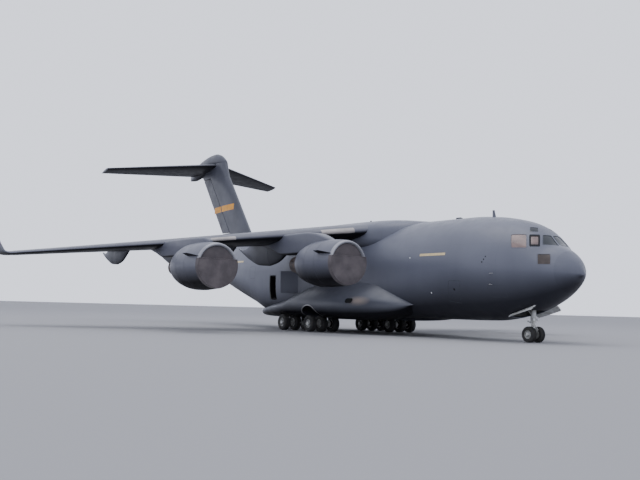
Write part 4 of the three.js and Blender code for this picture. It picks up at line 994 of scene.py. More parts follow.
def make_crew_door():
    """Stair door: its panel and handle outside, its steps inside."""
    door = CREW_DOOR
    outline = dense(rounded(door["start"], door["end"], door["low"], door["high"], 0.12), 0.16)
    panel = plate("door_skin", outline, on_side(1), 0.004, SKIN, "body")
    steps = [block("step", (door["start"] + 0.2, door["end"] - 0.2), (y - 0.12, y), (z, z + 0.03), "deck")
             for y, z in CREW_STEPS]
    handle = plate("handle", rounded(*CREW_HANDLE, 0.03), on_side(1), -0.004, 0.02, "joint")
    settle(join("crew_door_panel", [panel, handle] + steps), "crew_door", ("crew_door",), 26)


def make_centre():
    """Middle of the body, with the doorways of its four side doors."""
    shell = body_block("centre_skin", FORWARD_END + SEAM, CENTRE_END - SEAM)
    tools = [body_block("tool", FORWARD_END - 0.5, CENTRE_END + 0.5, SKIN, INNER_SIDES, 0.6, "inside")]
    for _, side in SIDES:
        tools.append(box_tool(TROOP_DOOR, side, 2.0, 4.5, SEAM if side > 0 else CLEAR, 0.1))
        tools.append(box_tool(DEFLECTOR, side, 2.0, 4.5, CLEAR, 0.04))
    carve(shell, tools)
    settle(shell, nodes=("centre_fuselage",), sharp=24)


def make_troop_doors():
    """Left door shut, right door raised inside on rollers, with a near-black lining in its doorway: painted
    shade.
    """
    door, window = TROOP_DOOR, TROOP_WINDOW
    outline = dense(rounded(door["start"], door["end"], door["low"], door["high"], 0.1), 0.16)

    def raised(s, z, depth):
        return on_side(-1)(s, z, depth) + (0, door["inside"], door["raised"])
    port, around = (rounded(window["start"] - g, window["end"] + g, window["low"] - g, window["high"] + g,
                            window["corner"] + g) for g in (0, window["seal"]))
    edges = dense_pair(port, around, 2)
    for name, place in (("left", on_side(1)), ("right", raised)):
        parts = [plate("panel", outline, place, 0.0, SKIN, "body"),
                 plate("window", port, place, -0.006, 0.01, "glass"),
                 rim("seal", *edges, place, -0.01, 0.02, "seal")]
        if name == "right":
            for s in (door["start"] + 0.2, door["end"] - 0.2):
                top = place(np.array([s]), np.array([door["high"] - 0.2]), 0.02)[0]
                parts.append(tube("roller", [top, top + (0, -0.28, 0.10)], 0.035, 12, "leg"))
        settle(join(f"troop_door_panel_{name}", parts), nodes=(f"troop_door_{name}",), sharp=26)

    # The lining is near-black: painted shade for the dark inside of the doorway
    lining = dense_pair(*(rounded(door["start"] + g, door["end"] - g, door["low"] + g, door["high"] - g, 0.08)
                          for g in (0.08, 0.02)), 3)
    settle(rim("troop_doorway_shade_lining", *lining, on_side(-1), 0.03, 0.46, "black"), sharp=30)


def make_deflectors():
    """Air deflector doors with their stiffeners, built shut and then turned open about their pins."""
    spec = DEFLECTOR
    outline = dense(rounded(spec["start"], spec["end"], spec["low"], spec["high"], 0.04), 0.16)
    for name, side in SIDES:
        panel = plate("panel", outline, on_side(side), 0.004, 0.004 + spec["thick"], "body")
        stiffeners = []
        for z in (3.2, 3.6, 4.0, 4.4):
            strip = rounded(spec["start"] + 0.12, spec["end"] - 0.1, z - 0.035, z + 0.035, 0.02)
            stiffeners.append(plate("stiffener", dense(strip, 0.3), on_side(side), 0.05, 0.09, "bay"))
        whole = join(f"air_deflector_panel_{name}", [panel] + stiffeners)
        ends = []
        for z in (spec["low"], spec["high"]):
            y = skin_y(np.array([spec["start"]]), np.array([z]))[0] - spec["pin_deep"]
            ends.append(Vector(((MIDDLE - spec["start"] - 0.03) * SCALE, side * y * SCALE, z * SCALE)))
        turn = Matrix.Rotation(math.radians(-side * spec["open"]), 4, ends[1] - ends[0])
        whole.data.transform(Matrix.Translation(ends[0]) @ turn @ Matrix.Translation(-ends[0]))
        settle(whole, f"air_deflector_{name}", (f"air_deflector_{name}",), 26)


def ramp_top(s):
    """Height of the ramp's floor, which rises aft."""
    if s < CENTRE_END:
        return FLOOR_TOP
    rise = body(RAMP["end"])[0][1] + RAMP["deep_aft"] - FLOOR_TOP
    return FLOOR_TOP + rise * (s - CENTRE_END) / (RAMP["end"] - CENTRE_END)


def rectangle(s, half, low, high):
    """Upright section between two heights."""
    return [(s, -half, low), (s, half, low), (s, half, high), (s, -half, high)]


def leaning_ring(behind, half, low, high):
    """Edge between the ramp and the cargo door, leaning forward: half gives the half width at a station."""
    under, above = (RAMP["end"] - RAMP["lean"] * (z - body(RAMP["end"])[0][1]) + behind for z in (low, high))
    return [(under, -half(under), low), (under, half(under), low),
            (above, half(above), high), (above, -half(above), high)]


def ramp_tool(grow, low, paint):
    """Block that holds the ramp."""
    front, half = CENTRE_END + 0.03 - grow, RAMP["side"] + grow
    return loft("tool", [rectangle(front, half, low, ramp_top(front) + grow),
                         leaning_ring(grow, lambda s: half, low, ramp_top(RAMP["end"]) + grow)], paint)


def cargo_door_tool(grow, paint):
    """Block that holds the cargo door."""
    door, end = CARGO_DOOR, CARGO_DOOR["end"] + 3 * grow

    def half(s):
        share = (s - RAMP["end"]) / (door["end"] - RAMP["end"])
        return door["side_fore"] + (door["side_aft"] - door["side_fore"]) * share + grow
    return loft("tool", [leaning_ring(0.05 - grow, half, 0, 5.4), rectangle(end, half(end), 0, 5.4)], paint)


def make_rear():
    """Rear body, ramp, cargo door and tail cone."""
    shell = body_block("aft_skin", CENTRE_END + SEAM, AFT_END - SEAM)
    carve(shell, [body_block("tool", CENTRE_END - 0.5, AFT_END - SKIN, SKIN, INNER_SIDES, 0.5, "inside"),
                  ramp_tool(CLEAR, 0, "inside"), cargo_door_tool(CLEAR, "inside")])
    settle(shell, nodes=("aft_fuselage",), sharp=24)

    ramp = carve(ramp_tool(0, 0, "deck"), [body_block("tool", CENTRE_END - 0.2, 38)], "INTERSECT")
    front = CENTRE_END + RAMP["hinge_aft"] - 0.04
    reach = math.tan(math.radians(RAMP["swing"])) * (RAMP["hinge_z"] - 1)
    under = RAMP["hinge_z"] - 0.03
    heel = loft("tool", [[(front - 1, y, under), (front, y, under), (front + reach, y, 1), (front - 1, y, 1)]
                         for y in (-4, 4)])
    carve(ramp, [heel])
    settle(ramp, "cargo_ramp", ("cargo_ramp",), 24)

    door = carve(cargo_door_tool(0, "inside"), [body_block("tool", 37, 43.9)], "INTERSECT")
    carve(door, [body_block("tool", 36, 44.9, CARGO_DOOR["deep"], INNER_SIDES, 0.5, "inside")])
    settle(door, "cargo_door", ("cargo_door",), 24)

    tail = body_block("tail_cone_shell", AFT_END + SEAM, TAIL_END)
    settle(tail, nodes=("tail_cone",))


make_nose()
make_windows()
make_crew_door()
make_centre()
make_troop_doors()
make_deflectors()
make_rear()


# Gear pods

pod = smooth_columns(POD)


def pod_ring(s, parts=68):
    """Section of a pod on the left side, from its top outwards and down."""
    outer, top, bottom = pod(s)[0]
    middle = min(POD_MIDDLE, (top + bottom) / 2)
    angle = np.linspace(0, np.pi, 361)
    rise, out = np.cos(angle), np.sin(angle)
    high = rise > 0
    power = np.where(high, POD_ABOVE, POD_BELOW)
    y = POD_INNER + (outer - POD_INNER) * np.abs(out) ** power
    z = middle + np.sign(rise) * np.abs(rise) ** power * np.where(high, top - middle, middle - bottom)
    return np.column_stack([np.full(parts + 1, s), *evenly(y, z, parts)])


def pod_y(s, z):
    """Outer face of a pod at a station and height."""
    outer, top, bottom = pod(s).T
    middle = np.minimum(POD_MIDDLE, (top + bottom) / 2)
    high = z > middle
    power = np.where(high, POD_ABOVE, POD_BELOW)
    share = np.clip(np.abs(z - middle) / np.where(high, top - middle, middle - bottom), 0, 1)
    return POD_INNER + (outer - POD_INNER) * np.sqrt(1 - share ** (2 / power)) ** power


def on_pod(side):
    """Outer face of a pod: s and z give a point."""
    def place(s, z, depth):
        return np.column_stack([s, side * (pod_y(s, z) - depth), z])
    return place


def arch_outline(s, arch, grow=0.0):
    """Outline of a wheel arch from the side, open at the ground."""
    half, spring, top = arch
    angle = np.linspace(0, np.pi, 33)
    curve = np.column_stack([s + (half + grow) * np.cos(angle),
                             spring + (top - spring + grow) * np.sin(angle)])
    return np.vstack([[(s + half + grow, 0.2)], curve, [(s - half - grow, 0.2)]])


def make_pods():
    """Gear pods with their wheel arches, and the rims of the arches."""
    stations = np.append(np.arange(POD[0][0], POD[-1][0], 0.18), POD[-1][0])
    for name, side in SIDES:
        shell = loft(f"gear_pod_shell_{name}", flip([pod_ring(s) for s in stations], side), "pod")
        tools = []
        for _, s, arch in MAIN_ROWS:
            outline = arch_outline(s, arch)
            arch_block = [[(a, y, z) for a, z in outline] for y in (ARCH_INNER, 6)]
            tools.append(loft("tool", flip(arch_block, side), "bay"))
        tools.append(body_block("tool", 8, 36, -SEAM, BODY_SIDES, 0.4))
        carve(shell, tools)
        settle(shell, nodes=(f"gear_pod_{name}",), sharp=26)
        for row, s, arch in MAIN_ROWS:
            inner, outer = arch_outline(s, arch)[1:-1], arch_outline(s, arch, 0.07)[1:-1]
            keep = inner[:, 1] > 1.02
            inner, outer = inner[keep], outer[keep]
            rings = []
            for a, b, ya, yb in zip(inner, outer, pod_y(*inner.T), pod_y(*outer.T)):
                rings.append([(a[0], ya - 0.05, a[1]), (a[0], ya + 0.02, a[1]),
                              (b[0], yb + 0.02, b[1]), (b[0], yb - 0.05, b[1])])
            # The fore arch's rim is pale bare aluminium, a painted highlight for the light it catches; the
            # aft rim keeps the pod's paint
            paint = "aluminium" if row == "fore" else "pod"
            settle(loft(f"arch_rim_{row}_{name}", flip(rings, side), paint), sharp=40)


make_pods()


# Landing gear

def axle_height(tyre):
    """Height of an axle over the ground: the CAD's tyre stands on the flat of one of its sides."""
    return tyre["radius"] * math.cos(math.pi / TYRE_SIDES)


def wheel(name, s, y, z, tyre, out):
    """Grooved tyre and its hub with bolts, turned about the axle; out is the side that shows the hub."""
    radius, half = axle_height(tyre), tyre["width"] / 2
    rim_r = radius * 0.52
    shoulder = [(-half * 0.80, rim_r), (-half * 0.96, rim_r + 0.03), (-half, radius * 0.76),
                (-half * 0.93, radius * 0.90), (-half * 0.74, radius * 0.975), (-half * 0.60, radius * 0.995)]
    tread = []
    for groove in (-0.42, -0.14, 0.14, 0.42):
        near, far, floor = half * (groove - 0.05), half * (groove + 0.05), radius - 0.018
        tread += [(near - 0.003, radius), (near, floor), (far, floor), (far + 0.003, radius)]
    profile = shoulder + tread + [(-a, r) for a, r in reversed(shoulder)]
    rubber = spin(f"tyre_{name}", (s, y, z), (0, 1, 0), profile, 72, "rubber", loop=True)
    dish = [(-half * 0.72, 0.0), (-half * 0.72, rim_r * 0.94), (-half * 0.84, rim_r * 0.97),
            (-half * 0.84, rim_r + 0.012), (half * 0.84, rim_r + 0.012), (half * 0.84, rim_r * 0.97),
            (half * 0.60, rim_r * 0.90), (half * 0.42, rim_r * 0.72), (half * 0.46, rim_r * 0.45),
            (half * 0.78, rim_r * 0.36), (half * 0.82, rim_r * 0.30), (half * 0.82, 0.0)]
    hub = spin("hub", (s, y, z), (0, out, 0), dish, 48, "hub")
    bolts = []
    for k in range(HUB_BOLTS):
        angle = k / HUB_BOLTS * 2 * math.pi
        place = (s + rim_r * 0.60 * math.cos(angle), y + out * half * 0.42,
                 z + rim_r * 0.60 * math.sin(angle))
        head = [(0, 0.022), (0.03, 0.022), (0.036, 0.016)]
        bolts.append(spin("bolt", place, (0, out, 0), head, 6, "chrome"))
    return [rubber, hub] + bolts


def ring_part(name, place, axis, length, radius, bevel, narrow, sides=32, paint="leg"):
    """Turned part with its two ends bevelled: narrow is how much its radius shrinks over the bevel."""
    outline = [(0, radius - narrow), (bevel, radius), (length - bevel, radius), (length, radius - narrow)]
    return spin(name, place, axis, outline, sides, paint)


def make_main_gear():
    """Wheel sets on their axles, and the legs between them."""
    z = axle_height(MAIN_TYRE)
    for name, side in SIDES:
        for row, s, _ in MAIN_ROWS:
            parts = []
            for y in MAIN_TYRE["ys"]:
                out = side if y > MAIN_LEG["y"] else -side
                parts += wheel(row, s, y * side, z, MAIN_TYRE, out)
            parts.append(spin("axle", (s, 2.5 * side, z), (0, side, 0), [(0, 0.118), (2.63, 0.118)],
                              24, "leg"))
            for y in MAIN_BRAKES:
                parts.append(ring_part("brake", (s, y * side, z), (0, side, 0), 0.12, 0.26, 0.02, 0.04,
                                       paint="titanium"))
            key = f"main_wheels_{row}_{name}"
            settle(join(f"main_wheel_set_{row}_{name}", parts), key, (key,), 30)

            y = MAIN_LEG["y"] * side
            leg = [
                ring_part("barrel", (s, y, 1.18), (0, 0, 1), 0.90, MAIN_LEG["radius"], 0.03, 0.02),
                spin("piston", (s, y, z), (0, 0, 1), [(0, 0.105), (0.62, 0.105)], 32, "chrome"),
                ring_part("hub_ring", (s, y - 0.2, z), (0, 1, 0), 0.40, 0.25, 0.03, 0.03),
                tube("brace", [(s, y, 1.05), (s - 0.62, y, 1.72)], 0.07, 16, "leg"),
            ]
            for dy in (-0.19, 0.19):
                leg.append(tube("link", [(s + 0.10, y + dy * 0.5, 0.75), (s + 0.42, y + dy * 0.8, 1.02),
                                         (s + 0.16, y + dy * 0.5, 1.34)], 0.026, 10, "leg"))
                leg.append(tube("pipe", [(s - 0.17, y + dy, 1.7), (s - 0.20, y + dy, 1.2),
                                         (s - 0.12, y + dy, 0.82), (s - 0.02, y + dy * 1.4, 0.72)],
                                0.014, 8, "seal"))
            settle(join(f"main_leg_strut_{row}_{name}", leg),
                   nodes=(f"main_leg_{row}_{name}",), sharp=30)


def make_nose_gear():
    """Nose wheels, the fork that steers them and the fixed leg above it."""
    s, z = NOSE_AXLE_S, axle_height(NOSE_TYRE)
    parts = []
    for y in NOSE_TYRE["ys"]:
        parts += wheel("nose", s, y, z, NOSE_TYRE, 1 if y > 0 else -1)
    parts.append(ring_part("axle", (s, -0.6, z), (0, 1, 0), 1.2, 0.078, 0.02, 0.028, 24))
    settle(join("nose_wheel_pair", parts), "nose_wheels", ("nose_wheels",), 30)

    fork = [
        spin("piston", (s, 0, z), (0, 0, 1), [(0, 0.10), (0.48, 0.10)], 32, "chrome"),
        ring_part("hub_ring", (s, -0.145, z), (0, 1, 0), 0.29, 0.168, 0.02, 0.028),
        spin("collar", (s, 0, 0.985), (0, 0, 1), [(0, 0.13), (0.02, 0.158), (0.11, 0.158), (0.13, 0.14)],
             32, "leg"),
    ]
    for dy in (-0.07, 0.07):
        fork.append(tube("link", [(s - 0.12, dy, z + 0.06), (s - 0.30, dy, 0.80), (s - 0.14, dy, 1.02)],
                         0.02, 10, "leg"))
    fork.append(tube("tow_eye", [(s - 0.14, 0, z), (s - 0.24, 0, z - 0.02)], 0.03, 10, "leg"))
    settle(join("nose_fork_strut", fork), "nose_fork", ("nose_fork",), 30)

    leg = [
        spin("barrel", (s, 0, 1.13), (0, 0, 1), [(0, 0.14), (0.02, 0.158), (1.6, 0.158), (1.61, 0.12)],
             32, "leg"),
        tube("brace", [(s + 0.05, 0, 1.7), (NOSE_BAY["end"] - 0.12, 0, 2.6)], 0.085, 16, "leg"),
    ]
    for side in (-1, 1):
        y = 0.17 * side
        leg.append(spin("taxi_lamp", (s - 0.16, y, 1.42), (-1, 0, 0),
                        [(-0.04, 0.03), (0.0, 0.085), (0.05, 0.095), (0.055, 0.09)], 24, "leg"))
        leg.append(spin("taxi_lens", (s - 0.213, y, 1.42), (-1, 0, 0),
                        [(0, 0.082), (0.012, 0.07), (0.018, 0.02)], 24, "clear_lens"))
        y = 0.20 * side
        leg.append(tube("steering_jack", [(s - 0.02, y, 1.2), (s + 0.30, y, 1.32)], 0.045, 12, "leg"))
        y = 0.06 * side
        leg.append(tube("pipe", [(s + 0.17, y, 2.6), (s + 0.18, y, 1.9), (s + 0.17, y, 1.2)],
                        0.013, 8, "seal"))
    settle(join("nose_leg_strut", leg), nodes=("nose_leg",), sharp=30)


make_main_gear()
make_nose_gear()


# Wing, tail surfaces and their sections

def half_thickness(f):
    """Half thickness of a section at a share of its chord, for a thickness of 1."""
    return 5 * (0.2969 * np.sqrt(f) - 0.126 * f - 0.3516 * f**2 + 0.2843 * f**3 - 0.1015 * f**4)


# Shares of the chord at which a section has its points
CHORD = 0.5 * (1 - np.cos(np.linspace(0, np.pi, 41)))


def surface_at(wing, y):
    """Chord line and half thickness of a flat surface at a station, as functions of the chord share."""
    root, tip = wing["root"], wing["tip"]
    t = (np.asarray(y, float) - root["y"]) / (tip["y"] - root["y"])
    le, te, z, drop, thick = (root[k] + (tip[k] - root[k]) * t for k in ("le", "te", "z", "drop", "thick"))
    chord = te - le
    return dict(
        chord=chord,
        s=lambda f: le + f * chord,
        z=lambda f: z - f * drop,
        half=lambda f: half_thickness(f) * thick * chord,
    )


def foil_ring(place):
    """Ring round a section: the upper side aft, then the lower side forward."""
    upper = place(CHORD, 1.0)
    lower = place(CHORD[:0:-1], -UNDERSIDE)
    return np.vstack([upper, lower])


def surface_ring(wing, y):
    """Section of a wing at a station."""
    here = surface_at(wing, y)
    return foil_ring(lambda f, k: np.column_stack([
        here["s"](f), np.full_like(f, y), here["z"](f) + k * here["half"](f)]))


def behind_line(wing, f, y0, y1, lead, extra, paint):
    """Cutting block behind a share of the chord, between two stations."""
    rings = []
    for y in (y0, y1):
        here = surface_at(wing, y)
        s = here["s"](f) - lead * here["half"](f) - extra
        rings.append([(s, y, -1), (s + 8, y, -1), (s + 8, y, 19), (s, y, 19)])
    return loft("tool", rings, paint)


def nose_bar(wing, f, y0, y1, grow, paint):
    """Cutting bar for the round nose of a control surface, along its hinge line."""
    rings = []
    for y in (y0, y1):
        here = surface_at(wing, y)
        radius = here["half"](f) * NOSE_SHARE + grow
        angle = np.arange(40) / 40 * 2 * np.pi
        rings.append(np.column_stack([here["s"](f) + radius * np.cos(angle), np.full(40, y),
                                      here["z"](f) + radius * np.sin(angle)]))
    return loft("tool", rings, paint)


def control_surface(name, wing, f, y0, y1, side, paint):
    """Control surface with a round nose about its hinge line."""
    rings = []
    share = f + (1 - f) * (1 - np.cos(np.linspace(0, np.pi, 17))) / 2
    for y in np.linspace(y0, y1, 8):
        here = surface_at(wing, y)
        radius = here["half"](f) * NOSE_SHARE
        angle = np.linspace(-np.pi / 2, -3 * np.pi / 2, 15)
        arc = np.column_stack([here["s"](f) + radius * np.cos(angle), np.full(15, y),
                               here["z"](f) + radius * np.sin(angle)])
        upper, lower = (np.column_stack([
            here["s"](share), np.full(17, y), here["z"](share) + k * here["half"](share)])
            for k in (1.0, -UNDERSIDE))
        rings.append(np.vstack([arc, upper, lower[::-1]]))
    return loft(name, flip(rings, side), paint)


def flap_pivot(y):
    """Point of the flaps' hinge line at a station."""
    here = surface_at(WING, y)
    return np.array([here["s"](FLAP_FRONT) - FLAP_PIVOT["ahead"], y,
                     here["z"](FLAP_FRONT) - FLAP_PIVOT["below"] * here["chord"]])


def flap_front(y):
    """Point of the flaps' front edge at a station."""
    here = surface_at(WING, y)
    return np.array([here["s"](FLAP_FRONT), y, here["z"](FLAP_FRONT)])


def flap_axis(flap):
    """Direction of a flap's hinge line, outwards."""
    axis = flap_pivot(flap[2]) - flap_pivot(flap[1])
    return axis / np.linalg.norm(axis)


def flap_ends(flap, s, z, gap=0.0):
    """Inner and outer y of a flap's region at an s and z: square to the hinge line, but for the outermost."""
    axis = flap_axis(flap)
    ends = []
    for y, sign in ((flap[1], -1), (flap[2], 1)):
        front = flap_front(y)
        if sign > 0 and flap[0] == "outer":
            ends.append(np.full_like(np.asarray(s, float), y + gap))
        else:
            ends.append(y + (sign * gap - axis[0] * (s - front[0]) - axis[2] * (z - front[2])) / axis[1])
    return ends


def flap_block(flap, gap, paint):
    """Cutting block that a flap takes."""
    corners = []
    for z in (-1.0, 19.0):
        ring = []
        for which, reach in ((0, 0), (0, 8), (1, 8), (1, 0)):
            y = flap[1 + which]
            for _ in range(FLAP_ROUNDS):
                s = surface_at(WING, y)["s"](FLAP_FRONT) - gap + reach
                y = float(flap_ends(flap, s, z, gap)[which])
            ring.append((s, y, z))
        corners.append(ring)
    return loft("tool", corners, paint)


def flap_shape(flap):
    """Left flap with a rounded nose."""
    share = FLAP_FRONT + (1 - FLAP_FRONT) * (1 - np.cos(np.linspace(0, np.pi, 19))) / 2
    rings = []
    for t in np.linspace(0, 1, 12):
        loops = []
        for sign, fs in ((1.0, share), (-UNDERSIDE, share[::-1])):
            y = np.full(len(fs), flap[1] + (flap[2] - flap[1]) * t)
            for _ in range(FLAP_ROUNDS):
                here = surface_at(WING, y)
                rows = np.column_stack([here["s"](fs), y, here["z"](fs) + sign * here["half"](fs)])
                low, high = flap_ends(flap, rows[:, 0], rows[:, 2])
                y = low + (high - low) * t
            behind = rows[:, 0] - here["s"](FLAP_FRONT)
            round_off = np.clip(behind / (here["half"](FLAP_FRONT) * 0.7), 0, 1)
            middle = here["z"](fs)
            rows[:, 2] = middle + (rows[:, 2] - middle) * np.sqrt(1 - (1 - round_off) ** 2 * 0.999)
            loops.append(rows)
        rings.append(np.vstack(loops))
    return loft("flap", rings, "wing")


def hinge_fairing(y, rows):
    """Canoe fairing under the wing, rounded below and pointed behind the trailing edge."""
    here = surface_at(WING, y)
    chord, edge = float(here["chord"]), float(here["s"](1.0))
    pivot = flap_pivot(y)
    column = smooth_columns(rows)
    tip = pivot[0] + MOVING_FAIRING[-1][0] * chord
    rings = []
    for share in np.linspace(rows[0][0], rows[-1][0], 26):
        dz, half = column(share)[0] * chord
        s, low = pivot[0] + share * chord, pivot[2] + dz
        line = float(here["z"](min(1.0, (s - float(here["s"](0))) / chord)))
        top = max(line, low + 0.12)
        top += (low + 0.12 - top) * max(0.0, s - edge) / (tip - edge)
        angle = np.linspace(0, np.pi, 21)
        rings.append(np.column_stack([
            np.full(21, s), y + half * np.cos(angle), top - (top - low) * np.sin(angle) ** 0.75]))
    return loft("fairing", rings, "wing")


def wing_rings():
    """Sections of the left wing, and of the winglet that it bends up into."""
    end = WING["tip"]["y"] - 0.5
    here = surface_at(WING, end)
    last = (float(here["s"](0)), float(here["chord"]), end, float(here["z"](0)), 0)
    bend = smooth_columns([(k, *row) for k, row in enumerate([last] + WINGLET)])
    rings = [surface_ring(WING, y) for y in np.linspace(WING["root"]["y"], end, 30)]
    for k in np.linspace(0.25, len(WINGLET), 22):
        le, chord, y, z, lean = bend(k)[0]
        out, up = math.sin(math.radians(lean)), math.cos(math.radians(lean))
        thick = WING["tip"]["thick"] - 0.015 * min(1, k / 2)
        rings.append(foil_ring(lambda f, h: np.column_stack([
            le + f * chord, y - h * half_thickness(f) * thick * chord * out,
            z + h * half_thickness(f) * thick * chord * up])))
    return rings


def make_wings():
    """Wings with the fixed fairings, ailerons, and flaps with the moving fairings."""
    rings = wing_rings()
    for name, side in SIDES:
        wing = loft(f"wing_skin_{name}", rings, "wing")
        fixed = wing_fairings(FIXED_FAIRING)
        for flap in FLAPS:
            carve(wing, [flap_block(flap, FLAP_GAP, "bay")])
            for fairing in fixed[flap[0]]:
                carve(fairing, [flap_block(flap, FLAP_GAP, "bay")])
        front, inner, outer, gap = (AILERON[key] for key in ("front", "inner", "outer", "gap"))
        carve(wing, [behind_line(WING, front, inner - gap, outer + gap, 0.5, CLEAR, "bay"),
                     nose_bar(WING, front, inner - gap, outer + gap, CLEAR, "bay"),
                     body_block("tool", 12, 33, -SEAM, 120, 0.6)])
        whole = join(f"wing_skin_{name}", [wing] + [f for group in fixed.values() for f in group])
        if side < 0:
            mirror(whole)
        settle(whole, nodes=(f"wing_{name}",), sharp=26)

        key = f"aileron_{name}"
        skin = control_surface(f"aileron_skin_{name}", WING, front, inner, outer, side, "wing")
        settle(skin, key, (key,), 30)
        moving = wing_fairings(MOVING_FAIRING)
        for flap in FLAPS:
            skin = flap_shape(flap)
            for fairing in moving[flap[0]]:
                carve(fairing, [flap_block(flap, 0.0, "wing")], "INTERSECT")
            whole = join(f"flap_skin_{flap[0]}_{name}", [skin] + moving[flap[0]])
            if side < 0:
                mirror(whole)
            key = f"flap_{flap[0]}_{name}"
            settle(whole, key, (key,), 30)


def mirror(target):
    """The same shape on the other side of the centre plane."""
    target.data.transform(Matrix.Scale(-1, 4, (0, 1, 0)))
    target.data.flip_normals()


def wing_fairings(rows):
    """Each flap's hinge fairings on the left wing."""
    return {label: [hinge_fairing(y, rows) for y in stations] for label, _, _, stations in FLAPS}


def make_wing_fairing():
    """Fairing that blends the wing's middle into the body's top."""
    rows = smooth_columns(FAIRING)
    rings = []
    for s in np.linspace(FAIRING[0][0], FAIRING[-1][0], 60):
        half, top = rows(s)[0]
        angle = np.arange(96) / 96 * 2 * np.pi
        c, n = np.cos(angle), np.sin(angle)
        high = np.where(n > 0, top - FAIRING_MIDDLE, FAIRING_MIDDLE - FAIRING_LOW)
        rings.append(np.column_stack([
            np.full(96, s), np.sign(c) * np.abs(c) ** FAIRING_SQUARE * half,
            FAIRING_MIDDLE + np.sign(n) * np.abs(n) ** FAIRING_SQUARE * high]))
    fairing = loft("wing_fairing_skin", rings, "body")
    carve(fairing, [body_block("tool", 12, 33, -SEAM, BODY_SIDES, 0.6)])
    settle(fairing, nodes=("wing_fairing",), sharp=30)


make_wings()
make_wing_fairing()


# Engines

def outline_of(places, column):
    """Pairs of distance and radius along a turned shape."""
    return [(float(d), float(column(d)[0][0])) for d in places]


def make_lip(tag, centre, outer, inner):
    """Ring round the intake, from the inside over the front to the outside."""
    near = np.linspace(0, 1, 12) ** 2 * LIP_END
    lip = outline_of(near[::-1], inner) + outline_of(near[1:], outer)
    lip += [(LIP_END, lip[-1][1] - 0.03), (LIP_END, lip[0][1] + 0.03)]
    settle(spin(f"intake_lip_{tag}", centre, (1, 0, 0), lip, 96, "lip", loop=True), sharp=35)


def make_cowl(tag, centre, outer, inner, side):
    """Skins of the nacelle with their seams, its strake, and the latch lines under it."""
    s, y, z = centre
    outline = []
    for a, b in COWL_SKINS:
        rows = outline_of(np.linspace(a, b, 14), outer)
        outline += rows + [(b, rows[-1][1] - 0.02), (b + 0.02, rows[-1][1] - 0.02)]
    outline = outline[:-2] + outline_of(np.linspace(COWL[-1][0], LIP_END + 0.004, 16), inner)
    skin = spin("cowl", centre, (1, 0, 0), outline, 96, "cowl", loop=True)

    angle, half = math.radians(STRAKE["angle"]), STRAKE["thick"] / 2
    rows = []
    for ds, height in STRAKE_ROWS:
        section = ((1.44, -half), (1.52 + height, -half / 4), (1.52 + height, half / 4), (1.44, half))
        rows.append([(s + STRAKE["start"] + ds, y + side * (r * math.cos(angle) - k * math.sin(angle)),
                      z + r * math.sin(angle) + k * math.cos(angle)) for r, k in section])
    strake = loft("strake", rows, "cowl")
    latches = [tube("latch_line", [(s + d, y + 0.05 * k, z - r - 0.001) for d, r in
                                   outline_of(np.linspace(0.5, 4.2, 14), outer)], 0.012, 6, "joint")
               for k in (-1, 1)]
    settle(join(f"cowl_skin_{tag}", [skin, strake] + latches), nodes=(f"nacelle_{tag}",), sharp=30)


def make_core(tag, centre, core, plug):
    """Hot end of the engine with the cone in its nozzle."""
    rows = outline_of(np.linspace(CORE[0][0], CORE[-1][0], 40), core)
    inside = [(CORE[-1][0], rows[-1][1] - 0.03), (5.6, 0.60), (5.5, 0.30)]
    shell = spin("core", centre, (1, 0, 0), rows + inside, 72, "titanium")
    tip = [(5.5, 0.36)] + outline_of(np.linspace(PLUG[0][0], PLUG[-1][0], 16), plug)
    cone = spin("plug", centre, (1, 0, 0), tip, 48, "titanium")
    settle(join(f"engine_core_{tag}", [shell, cone]), nodes=(f"engine_{tag}",), sharp=35)


def make_cover(tag, centre):
    """Padded cover: its lower two thirds lie over the lip, its upper third is set back inside the intake."""
    s, y, z = centre
    radius, step, back = COVER["radius"], COVER["step"], COVER["set_back"]

    def front(u, v, depth):
        edge = np.hypot(u, v) / radius
        return np.column_stack([s - 0.05 + 0.03 * edge**8 + depth, y + u, z + v])

    def inside(u, v, depth):
        return np.column_stack([np.full_like(u, s + back + depth), y + u, z + v])

    def part(name, size, low, place, deep):
        turn = math.asin(step / size)
        angles = np.linspace(-np.pi - turn, turn, 72) if low else np.linspace(turn, np.pi - turn, 36)
        outline = dense(np.column_stack([size * np.cos(angles), size * np.sin(angles)]), 0.14)
        return plate(name, outline, place, 0.0, deep, "canvas" if low else "canvas_back", 8)

    def round_lip(r, angle):
        return y + r * math.cos(angle), z + r * math.sin(angle)
    lower = part("lower", radius, True, front, 0.018)
    plug = part("plug", COVER["back_radius"], True, lambda u, v, depth: inside(u, v, depth - 0.15), 0.19)
    upper = part("upper", COVER["back_radius"], False, inside, 0.05)
    turn = math.asin(step / radius)
    around = np.linspace(-np.pi - turn, turn, 60)
    hem = tube("hem", [(s - 0.022, *round_lip(radius - 0.02, a)) for a in around], 0.018, 10, "canvas")
    skirt = loft("skirt", [[(s + d, *round_lip(r, a)) for d, r in COVER_SKIRT] for a in around], "canvas")
    across = np.linspace(-radius * 0.95, radius * 0.95, 24)
    edge = tube("edge", [(s - 0.045, y + u, z + step) for u in across], 0.020, 10, "canvas")
    settle(join(f"cover_panels_{tag}", [lower, plug, upper, hem, skirt, edge]),
           nodes=(f"intake_cover_{tag}",), sharp=40)


